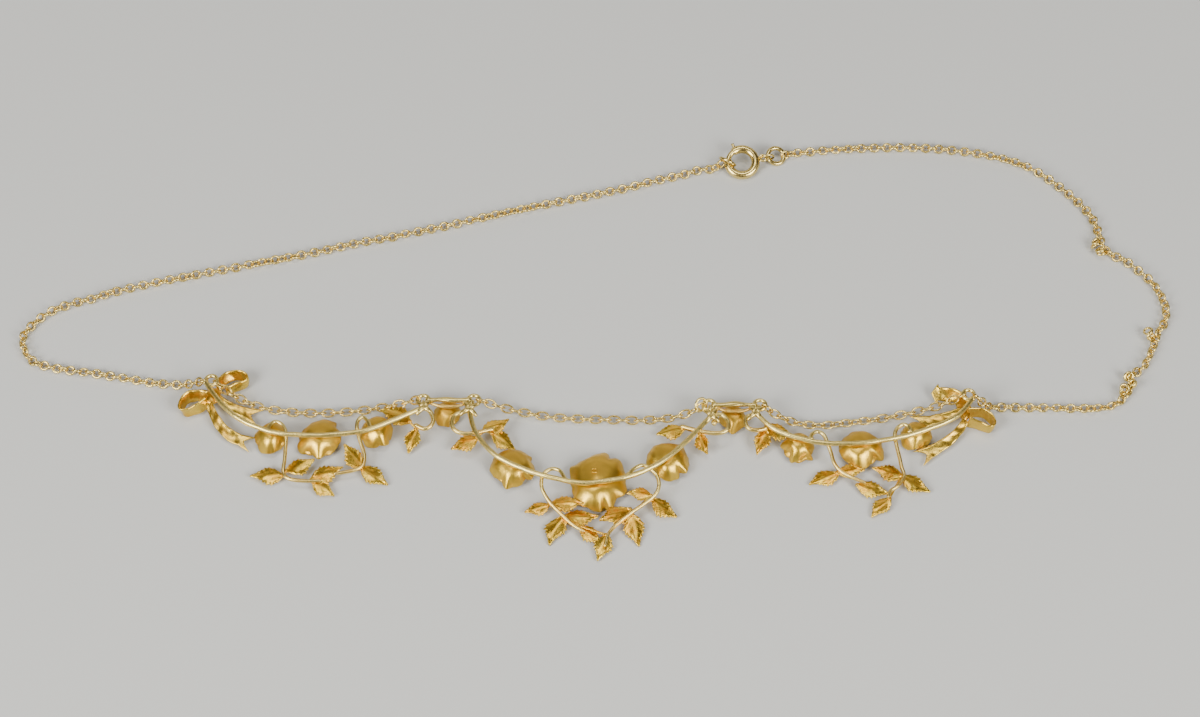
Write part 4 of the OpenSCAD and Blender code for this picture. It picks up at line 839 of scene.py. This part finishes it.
def ribbon(swag, rows, wide, seed, end="plain"):
    """Ribbon: a strip across the path, rolled by the table's angle, dished by v^2 and rippled by two waves of its
    run. Past a plain end nothing is added. A fork widens and runs on further at its edges than in its middle, by
    |v|^1.3, and a point runs on further in its middle."""
    path = smooth(np.concatenate([at(swag, [r[:3] for r in rows]), np.array(rows)[:, 3:4]], 1), 10)
    roll = np.radians(path[:, 3])[:, None]
    path = path[:, :3]
    t = unit(np.gradient(path, axis=0))
    x = unit(np.cross(UP, t))
    b = np.cos(roll) * x + np.sin(roll) * np.cross(t, x)
    n = np.cross(t, b)
    s = runs(path)[:, None]
    v = np.linspace(-1, 1, 9)[None, :]
    ph = np.random.default_rng(seed).uniform(0, 6.28, 2)
    dish = 0.1 * (v**2 - 0.4) + 0.04 * np.sin(2.2 * s + ph[0]) + 0.03 * np.sin(3.7 * s + ph[1] + 2 * v)
    far = s / s[-1]
    half = wide / 2 * (1 + 0.04 * np.sin(1.9 * s + ph[1])) + 0 * v
    if end == "fork":
        half = half * (0.62 + 0.5 * far)
    grid = path[:, None] + (half * v)[..., None] * b[:, None] + dish[..., None] * n[:, None]
    if end != "plain":
        k = np.linspace(0.12, 1, 10)[:, None]
        reach = wide * k * (0.3 + 1.0 * np.abs(v) ** 1.3 if end == "fork" else 0.1 + 0.42 * (1 - np.abs(v)))
        flare = 1 + 0.55 * k
        out = (path[-1] + reach[..., None] * t[-1] + (half[-1] * v * flare)[..., None] * b[-1]
               + (dish[-1] * (1 - 0.5 * k))[..., None] * n[-1])
        grid = np.concatenate([grid, out])
    far = np.linspace(0, 1, len(grid))[:, None]
    cloud = 0.5 + 0.5 * np.sin(5 * far + ph[0] + 1.5 * v)
    return plate(grid, RIBBON_SHEET, tone=0.12 * cloud, stain=0.12 + 0.5 * cloud**2 * (1 - 0.5 * np.abs(v)))


def bow(name, swag, loops, ends, tails, seed, widths=(RIBBON_W, RIBBON_W)):
    """Ribbon bow: its two loops, each with its own end and width, and its forked tails, with a wrapped knot where
    they meet. A row is a place along, down and up, then the ribbon's roll in degrees."""
    parts = [ribbon(swag, rows, widths[k], seed + k, ends[k]) for k, rows in enumerate(loops)]
    parts += [ribbon(swag, rows, RIBBON_W * 0.8, seed + 5 + k, "fork") for k, rows in enumerate(tails)]
    roots = at(swag, [rows[0][:3] for rows in loops + tails])
    spot, span = roots.mean(0), np.ptp(roots, axis=0)
    knot = blob(spot, (0.45 + span[0] / 2, 0.45 + span[1] / 2, 0.5), seed, 0.1)
    knot[3]["stain"][:] = 0.7
    put(name + "_ribbon", join(parts + [knot]), BOW, name)


bow("left_bow", LEFT_SWAG,
    [[[-0.025, 0.11, 0.52, 118], [-0.07, 0.09, 0.46, 116], [-0.115, 0.1, 0.42, 112], [-0.145, 0.165, 0.4, 108],
      [-0.145, 0.225, 0.4, 104], [-0.115, 0.245, 0.42, 88], [-0.07, 0.21, 0.44, 76], [-0.025, 0.155, 0.5, 76]],
     [[0.02, 0.04, 0.5, 72], [0.03, -0.035, 0.45, 62], [0.06, -0.095, 0.42, 52], [0.1, -0.115, 0.4, 56],
      [0.14, -0.105, 0.38, 72], [0.155, -0.06, 0.38, 88], [0.135, -0.02, 0.38, 100], [0.095, 0.01, 0.4, 104],
      [0.06, 0.05, 0.44, 104]]], ("plain", "plain"),
    [[[-0.02, 0.15, 0.5, 22], [0.0, 0.24, 0.44, 24], [0.045, 0.37, 0.34, 22], [0.1, 0.455, 0.26, 14],
      [0.14, 0.485, 0.22, 6]],
     [[0.02, 0.105, 0.45, 10], [0.06, 0.165, 0.38, 12], [0.11, 0.205, 0.3, 6], [0.165, 0.235, 0.22, 4]]], 101,
    widths=(RIBBON_W, NARROW_RIBBON_W))
bow("right_bow", RIGHT_SWAG,
    [[[0.995, -0.035, 0.52, 78], [1.035, -0.05, 0.46, 80], [1.08, -0.045, 0.42, 82], [1.11, 0.01, 0.4, 78],
      [1.118, 0.07, 0.4, 76], [1.1, 0.105, 0.4, 84], [1.055, 0.08, 0.44, 96], [1, 0.045, 0.5, 100]],
     [[0.985, -0.06, 0.5, -10], [0.975, -0.16, 0.48, -30], [0.94, -0.215, 0.46, -52], [0.905, -0.225, 0.43, -46],
      [0.87, -0.235, 0.4, -34]]], ("plain", "point"),
    [[[0.985, 0.03, 0.48, -24], [0.96, 0.1, 0.42, -28], [0.91, 0.19, 0.34, -24], [0.86, 0.25, 0.27, -16],
      [0.81, 0.3, 0.22, -6]],
     [[0.975, -0.06, 0.5, -14], [0.93, -0.035, 0.42, -14], [0.88, -0.01, 0.34, -8], [0.83, 0.01, 0.3, -4],
      [0.795, 0.02, 0.28, -4]]], 111)


# Chains

def chain(path, pitch, rolls, jitter, seed, half_long, half_wide, wire, around, sides, ends=0.0, turn=0.0):
    """Chain: links at even steps along the path, their faces rolled in turn by the given angles plus a random bit, a
    slow twist that comes and goes by two sines of the length, and a turn that grows evenly from the first link to the
    last. Each link is a line centre + half_long * cos(a) * along + half_wide * sin(a) * across with a round section,
    lifted onto the surface where it would sink. Its two ends, where it hooks into its neighbours, are darkened as
    painted shade, and each link is darkened by a random bit more."""
    s = runs(path)
    free = s[-1] - 2 * ends
    count = int(round(free / pitch)) + 1
    at_s = ends + np.linspace(0, free, count)
    c, after, before = [points_at(path, at_s + step) for step in (0, 0.45, -0.45)]
    rng = np.random.default_rng(seed)
    t = unit(after - before)
    x = unit(np.cross(UP, t))
    lift = np.cross(t, x)
    twist = 1.6 * jitter * np.sin(at_s / 4.3 + seed) * np.sin(at_s / 11.0) + turn * at_s / s[-1]
    roll = np.radians(np.resize(rolls, count) + rng.uniform(-jitter, jitter, count) + twist)[:, None]
    b = np.cos(roll) * x + np.sin(roll) * lift
    sway = np.radians(rng.uniform(-7, 7, count))[:, None]
    t = unit(np.cos(sway) * t + np.sin(sway) * b)
    b = unit(b - (b * t).sum(1, keepdims=True) * t)
    n = np.cross(t, b)
    low = np.hypot(half_long * t[:, 2], half_wide * b[:, 2]) + wire / 2
    c[:, 2] = np.maximum(c[:, 2], low + 0.01)
    a = np.linspace(0, 2 * np.pi, around, endpoint=False)
    g = np.linspace(0, 2 * np.pi, sides, endpoint=False)
    ca, sa = np.cos(a)[None, :, None], np.sin(a)[None, :, None]
    out = unit(ca / half_long * t[:, None] + sa / half_wide * b[:, None])
    line = c[:, None] + half_long * ca * t[:, None] + half_wide * sa * b[:, None]
    cg, sg = np.cos(g)[:, None], np.sin(g)[:, None]
    points = line[:, :, None] + wire / 2 * (cg * out[:, :, None] + sg * n[:, None, None])
    one = grid_quads(around, sides, True, True)
    quads = (np.arange(count)[:, None, None] * around * sides + one[None]).reshape(-1, 4)
    run = (a * half_long)[None, :, None] + np.arange(count)[:, None, None] * 3.7
    trail = np.stack(np.broadcast_arrays(cg[None, None, :, 0], sg[None, None, :, 0], run), -1)
    # Painted shade at the link's ends, where it hooks into its neighbours, and a random darkening for each link.
    tone = 0.35 * np.clip(np.abs(np.cos(a)) - 0.75, 0, 1) / 0.25
    tone = np.broadcast_to(tone[None, :, None] + 0.12 * rng.random((count, 1, 1)), (count, around, sides))
    return shape(points.reshape(-1, 3), quads, trail=trail.reshape(-1, 3), tone=tone.ravel() * 1.0)


def swag_chain(name, swag, rows, ring_a, d_a, ring_b, d_b, seed, rolls, turn=0.0):
    """Swag chain of oval links that hooks into a ring at each end."""
    p = at(swag, rows)
    hooks = [ring + unit((to - ring) * LEVEL) * (outer - RING_WIRE) / 2
             for ring, outer, to in ((ring_a, d_a, p[0]), (ring_b, d_b, p[-1]))]
    path = smooth(np.concatenate([hooks[:1], p, hooks[1:]]), 12)
    put(name + "_links", chain(path, SWAG_PITCH, rolls, 8, seed, ends=0.4, turn=turn, **SWAG_LINK), CHAIN, name)


swag_chain("left_swag_chain", LEFT_SWAG,
           [[0.085, 0.09, 0.6], [0.18, 0.155, 0.33], [0.27, 0.195, 0.23], [0.4, 0.225, 0.23], [0.55, 0.228, 0.23],
            [0.7, 0.205, 0.23], [0.83, 0.18, 0.36], [0.925, 0.172, 0.64]],
           LEFT_RING, END_RING, EYES["left"], EYE, 31, rolls=(-50, 40))
swag_chain("centre_swag_chain", CENTRE_SWAG,
           [[0.09, -0.062, 0.6], [0.185, -0.042, 0.3], [0.32, -0.005, 0.23], [0.45, 0.012, 0.23], [0.58, 0.018, 0.23],
            [0.71, 0.022, 0.23], [0.82, 0.012, 0.3], [0.91, -0.006, 0.6]],
           EYES["centre_left"], EYE, EYES["centre_right"], EYE, 32, rolls=(-65, 25), turn=25)
swag_chain("right_swag_chain", RIGHT_SWAG,
           [[0.1, -0.01, 0.6], [0.2, 0.035, 0.3], [0.32, 0.045, 0.23], [0.45, 0.02, 0.23], [0.6, -0.02, 0.23],
            [0.74, -0.07, 0.27], [0.85, -0.11, 0.4], [0.94, -0.15, 0.66]],
           EYES["right"], EYE, RIGHT_RING, END_RING, 33, rolls=(90, 0), turn=40)


# Clasp sizes and places as in the model: the bolt ring, its tilt and its bolt, and the rings beside it
RING_R, TUBE_R, BOLT_R = 2.3, 0.7, 0.44
TILT = 20
CLASP_WIRE = 0.34
EYELET_D, EYELET_SEAT, EYELET_ANGLE = 1.4, 0.12, 12
CATCH_RING_D, CATCH_WIRE = 3.2, 0.5
CHAIN_RING_D, CHAIN_RING_WIRE = 3.5, 0.75
CHAIN_RING_TILT = (20, 12)
SEAT_GAP = 0.1
BOLT_RING = np.array([23.8, 39.1, TUBE_R + RING_R * np.sin(np.radians(TILT))])
CATCH_RING = BOLT_RING + np.array([-RING_R - 0.1, 0, 0.16])
CHAIN_RING_R = (CHAIN_RING_D - CHAIN_RING_WIRE) / 2
CHAIN_RING_RISE = CHAIN_RING_R * np.sqrt(1 - np.prod(np.cos(np.radians(CHAIN_RING_TILT))) ** 2)
CHAIN_RING = np.array([29.6, 40.9, CHAIN_RING_WIRE / 2 + CHAIN_RING_RISE])

# Link on the right end ring: it hangs by END_LINK_DROP from the ring's outer side and leans towards the chain
END_LINK_D, END_LINK_WIRE, END_LINK_DROP = 2.2, 0.42, 0.62
END_LINK_WAY = np.array([1, 0.05, 0])
END_LINK_FALL = np.array([0.707, -0.579, -0.406])
END_LINK_NORMAL = np.array([0.707, 0.579, 0.406])

# Routes of the back chain as in the model, from the panel to the clasp
BACK_CHAIN_Z = 0.64
LEFT_ROUTE = [
    [-67, -5.7], [-70.5, -5.4], [-74, -4.8], [-77.5, -4.1], [-81, -3.4], [-84.5, -2.9], [-88, -2.2],
    [-90.8, -1.1], [-92.4, 1], [-93, 3.6], [-91.8, 6], [-89.5, 8.4], [-86.5, 10.1], [-83, 11.2],
    [-79.5, 12.6], [-75, 13.9], [-70, 15.2], [-65, 16.4], [-60, 17.6], [-55, 18.8], [-50, 20], [-45, 21.3],
    [-40, 22.7], [-35, 23.8], [-30, 25.1], [-25, 26.4], [-20, 27.8], [-15, 29.2], [-10, 30.5], [-5, 31.8],
    [0, 33], [5, 34.4], [10, 36], [14, 37.1], [17, 38.2]]
RIGHT_ROUTE = [
    [62, -9.9], [66, -10], [70, -10.1], [74, -10.2], [78, -10.2], [81, -9.8], [83.2, -8.2], [84.6, -6],
    [84.8, -4], [86.8, -2.4], [88.2, 0], [89.2, 2.4], [90.2, 4.8], [91.5, 7], [91.8, 9.6], [91.2, 12.2],
    [90, 14.8], [88.2, 17], [86, 19.2], [83.6, 20.6], [82.6, 23], [82.2, 25.6], [81.4, 28.4], [79.6, 31.2],
    [77.4, 33.8], [75, 36.2], [72, 38.5], [69, 40], [65.5, 41.1], [61.5, 42], [57, 42.6], [52.5, 42.9],
    [48, 42.9], [43.5, 42.7], [39, 42.4], [35.5, 42]]


def heap(x, y, seed):
    """Three links of the back chain heaped where it kinks: each stands at a random slant near the spot."""
    rng = np.random.default_rng(seed)
    links = []
    for k in range(3):
        way = unit(np.append(rng.uniform(-1, 1, 2), rng.uniform(-0.3, 0.3)))
        side = unit(np.cross(way, unit(rng.uniform(-1, 1, 3) + UP)))
        spot = np.array([x, y, 0.9 + 0.2 * k]) + np.append(rng.uniform(-0.45, 0.45, 2), 0)
        links.append(link(spot, way, side, **dict(BACK_LINK, around=16)))
    return links


def back_chain(name, route, first, last, seed, kinks=()):
    """Back chain of fine round links that lie on the surface at a slant, leaning to one side and the other in turn,
    with a heap of links at each kink."""
    path = smooth(np.concatenate([first, [[x, y, BACK_CHAIN_Z] for x, y in route], last]), 10)
    parts = [chain(path, BACK_PITCH, (48, -42), 16, seed, **BACK_LINK)]
    for k, (x, y) in enumerate(kinks):
        parts += heap(x, y, seed + k)
    put(name + "_links", join(parts), CHAIN, name)


back_chain("back_chain_left", LEFT_ROUTE, LEFT_RING + np.array([[-1.3, 0.17, -0.25], [-2.6, 0.5, -1.3]]),
           CATCH_RING + np.array([[-2.6, -0.9, -0.9], [-1.1, -0.1, -0.5]]), 34)
back_chain("back_chain_right", RIGHT_ROUTE, RIGHT_RING + np.array([[2.15, -0.72, -0.95], [3.1, -0.8, -1.9]]),
           CHAIN_RING + np.array([[2.6, 0.6, -0.2], [1.55, 0.3, -0.1]]), 35,
           kinks=[[81.8, 22.4], [82.6, 20.8], [88.4, 4], [84.2, -4.2], [85, -5.8], [83.4, -6.8]])


# Rings of the clasp and the link on the right end ring

def ring(name, centre, normal, outer, wire, node):
    """Plain ring of round wire, square to its normal."""
    n = unit(np.asarray(normal, float))
    x = unit(np.cross(n, np.array([0.3, 0.2, 1.0]) if abs(n[2]) < 0.95 else EAST))
    r = (outer - wire) / 2
    put(name, link(centre, x, np.cross(n, x), r, r, wire, 64, 20), CLASP, node)


def tilted(v):
    """A vector tilted as the chain ring is."""
    return turned(turned(v, CHAIN_RING_TILT[0], "x"), CHAIN_RING_TILT[1], "y")


end_link_at = RIGHT_RING + unit(END_LINK_WAY) * RING_REACH + END_LINK_FALL * END_LINK_DROP
ring("end_link_wire", end_link_at, END_LINK_NORMAL, END_LINK_D, END_LINK_WIRE, "right_end_link")
ring("catch_ring_wire", CATCH_RING, (0.45, 0.75, 0.48), CATCH_RING_D, CATCH_WIRE, "catch_ring")
ring("chain_ring_wire", CHAIN_RING, tilted(UP), CHAIN_RING_D, CHAIN_RING_WIRE, "chain_ring")

# The clasp link runs from the eyelet to the chain ring, with the same free space at both wires
eyelet_r = RING_R + TUBE_R + EYELET_D / 2 - EYELET_SEAT
eyelet_at = BOLT_RING + turned(eyelet_r * level(EYELET_ANGLE), TILT, "x")
flat_way = unit((CHAIN_RING - eyelet_at) * LEVEL)
eyelet_side = eyelet_at + turned(flat_way, TILT, "x") * (EYELET_D - CLASP_WIRE) / 2
ring_side = CHAIN_RING - tilted(flat_way) * CHAIN_RING_R
span = np.linalg.norm(eyelet_side - ring_side)
link_way = unit(eyelet_side - ring_side)
link_at = ring_side + link_way * (span - (CHAIN_RING_WIRE - CLASP_WIRE) / 2) / 2
link_d = span + (CHAIN_RING_WIRE + CLASP_WIRE) / 2 + 2 * CLASP_WIRE + 2 * SEAT_GAP
link_lean = np.array([0.3, -0.75, -0.45])
ring("clasp_link_wire", link_at, (link_lean @ link_way) * link_way - link_lean, link_d, CLASP_WIRE, "clasp_link")


# Bolt and bolt ring: where the bolt begins and ends round the ring, and where its thumb lug stands, in degrees

BOLT_ARC = (92, 176)
LUG_AT = 116


def bolt_shape():
    """Bolt: a curved rod along the bolt ring's middle circle and a thumb lug that splits into two short prongs."""
    a = np.radians(np.linspace(*BOLT_ARC, 40))
    parts = [tube(RING_R * np.stack([np.cos(a), np.sin(a), 0 * a], 1), BOLT_R, 20)]
    out, aside = level(LUG_AT), level(LUG_AT + 90)
    parts.append(tube(out * (RING_R + np.linspace(0.3, 1.1, 6)[:, None]), 0.24, 16))
    t = np.linspace(0, 1, 8)[:, None]
    for side in (-1, 1):
        line = out * (RING_R + 0.98 + 0.32 * t) + aside * side * (0.05 + 0.11 * t**1.4)
        parts.append(tube(line, np.linspace(0.2, 0.11, 8), 14))
    points, quads, tris, marks = join(parts)
    return turned(points, TILT, "x") + BOLT_RING, quads, tris, marks


put("bolt_rod", bolt_shape(), CLASP, "bolt", body="bolt")


def bolt_ring_case():
    """The bolt ring's own faces with doubled points merged, shaded smooth but for edges of 35 degrees and more. On
    the outside of its tube, which is what lies within 0.02 mm and 25 degrees of a true torus, each corner's normal
    points straight away from the tube's middle circle."""
    source = bpy.data.objects["bolt_ring"]
    mesh = source.data.copy()
    mesh.name = "bolt_ring_case"
    mesh.transform(source.matrix_world)
    work = bmesh.new()
    work.from_mesh(mesh)
    bmesh.ops.remove_doubles(work, verts=work.verts, dist=2e-6)
    bmesh.ops.recalc_face_normals(work, faces=work.faces)
    for edge in work.edges:
        edge.smooth = len(edge.link_faces) == 2 and edge.calc_face_angle() < np.radians(35)
    work.to_mesh(mesh)
    work.free()
    mesh.shade_smooth()
    normals = np.empty(len(mesh.loops) * 3, np.float32)
    mesh.corner_normals.foreach_get("vector", normals)
    normals = normals.reshape(-1, 3)
    spots = np.array([mesh.vertices[corner.vertex_index].co for corner in mesh.loops]) / MM - PLACE - BOLT_RING
    spots = turned(spots, -TILT, "x")
    off_circle = spots - RING_R * unit(spots * LEVEL)
    torus = turned(unit(off_circle), TILT, "x")
    on_tube = np.abs(np.linalg.norm(off_circle, axis=1) - TUBE_R) < 0.02
    alike = (torus * normals).sum(1) > np.cos(np.radians(25))
    normals = np.where((on_tube & alike)[:, None], torus, normals)
    mesh.normals_split_custom_set(normals.tolist())
    return mesh


dress("bolt_ring_case", bolt_ring_case(), CLASP, "necklace", "bolt_ring")


# Floor, light and camera, in metres

def stand(name, data):
    """Object of the scene that isn't a piece."""
    item = bpy.data.objects.new(name, data)
    bpy.context.scene.collection.objects.link(item)
    return item


floor_mesh = bpy.data.meshes.new("floor")
floor_mesh.from_pydata([(-3, -3, 0), (3, -3, 0), (3, 3, 0), (-3, 3, 0)], [], [(0, 1, 2, 3)])
floor_mat = bpy.data.materials.new("pale_floor")
floor_mat.use_nodes = True
floor_mat.node_tree.nodes["Principled BSDF"].inputs["Base Color"].default_value = (0.6, 0.62, 0.645, 1)
floor_mat.node_tree.nodes["Principled BSDF"].inputs["Roughness"].default_value = 0.55
floor_mesh.materials.append(floor_mat)
stand("floor", floor_mesh)

# Name, place, aim, width, height, watts, colour
SOFT_BOXES = [
    ("left_box", (-0.45, -0.38, 0.42), (0, -0.02, 0), 0.36, 0.36, 5.6, (1, 0.97, 0.88)),
    ("right_box", (0.42, -0.40, 0.42), (0, -0.02, 0), 0.36, 0.36, 4.9, (1, 0.97, 0.88)),
    ("top_box", (-0.05, 0.12, 0.75), (0, 0, 0), 0.45, 0.2, 1.6, (1, 0.97, 0.9)),
    ("back_box", (0, 0.75, 0.36), (0, 0, 0), 1.3, 0.34, 1.6, (1, 0.93, 0.8)),
]
for name, place, aim, wide, high, power, colour in SOFT_BOXES:
    lamp = bpy.data.lights.new(name, "AREA")
    lamp.shape = "RECTANGLE"
    lamp.size, lamp.size_y = wide, high
    lamp.energy = power
    lamp.color = colour
    holder = stand(name, lamp)
    holder.location = place
    way = np.array(aim, float) - np.array(place, float)
    holder.rotation_euler = (np.arctan2(np.hypot(way[0], way[1]), -way[2]), 0, np.arctan2(-way[0], way[1]))

world = bpy.context.scene.world or bpy.data.worlds.new("studio")
bpy.context.scene.world = world
world.use_nodes = True
world.node_tree.nodes["Background"].inputs["Color"].default_value = (0.9, 0.74, 0.6, 1)
world.node_tree.nodes["Background"].inputs["Strength"].default_value = 0.1

# A long lens 482 mm from the middle of the view, 55 degrees above the surface
lens = bpy.data.cameras.new("camera")
lens.lens = 90
lens.sensor_width = 36
lens.clip_start = 0.01
camera = stand("camera", lens)
camera.location = (0.0006, -0.2792, 0.3948)
camera.rotation_euler = (np.radians(35), 0, 0)
bpy.context.scene.camera = camera
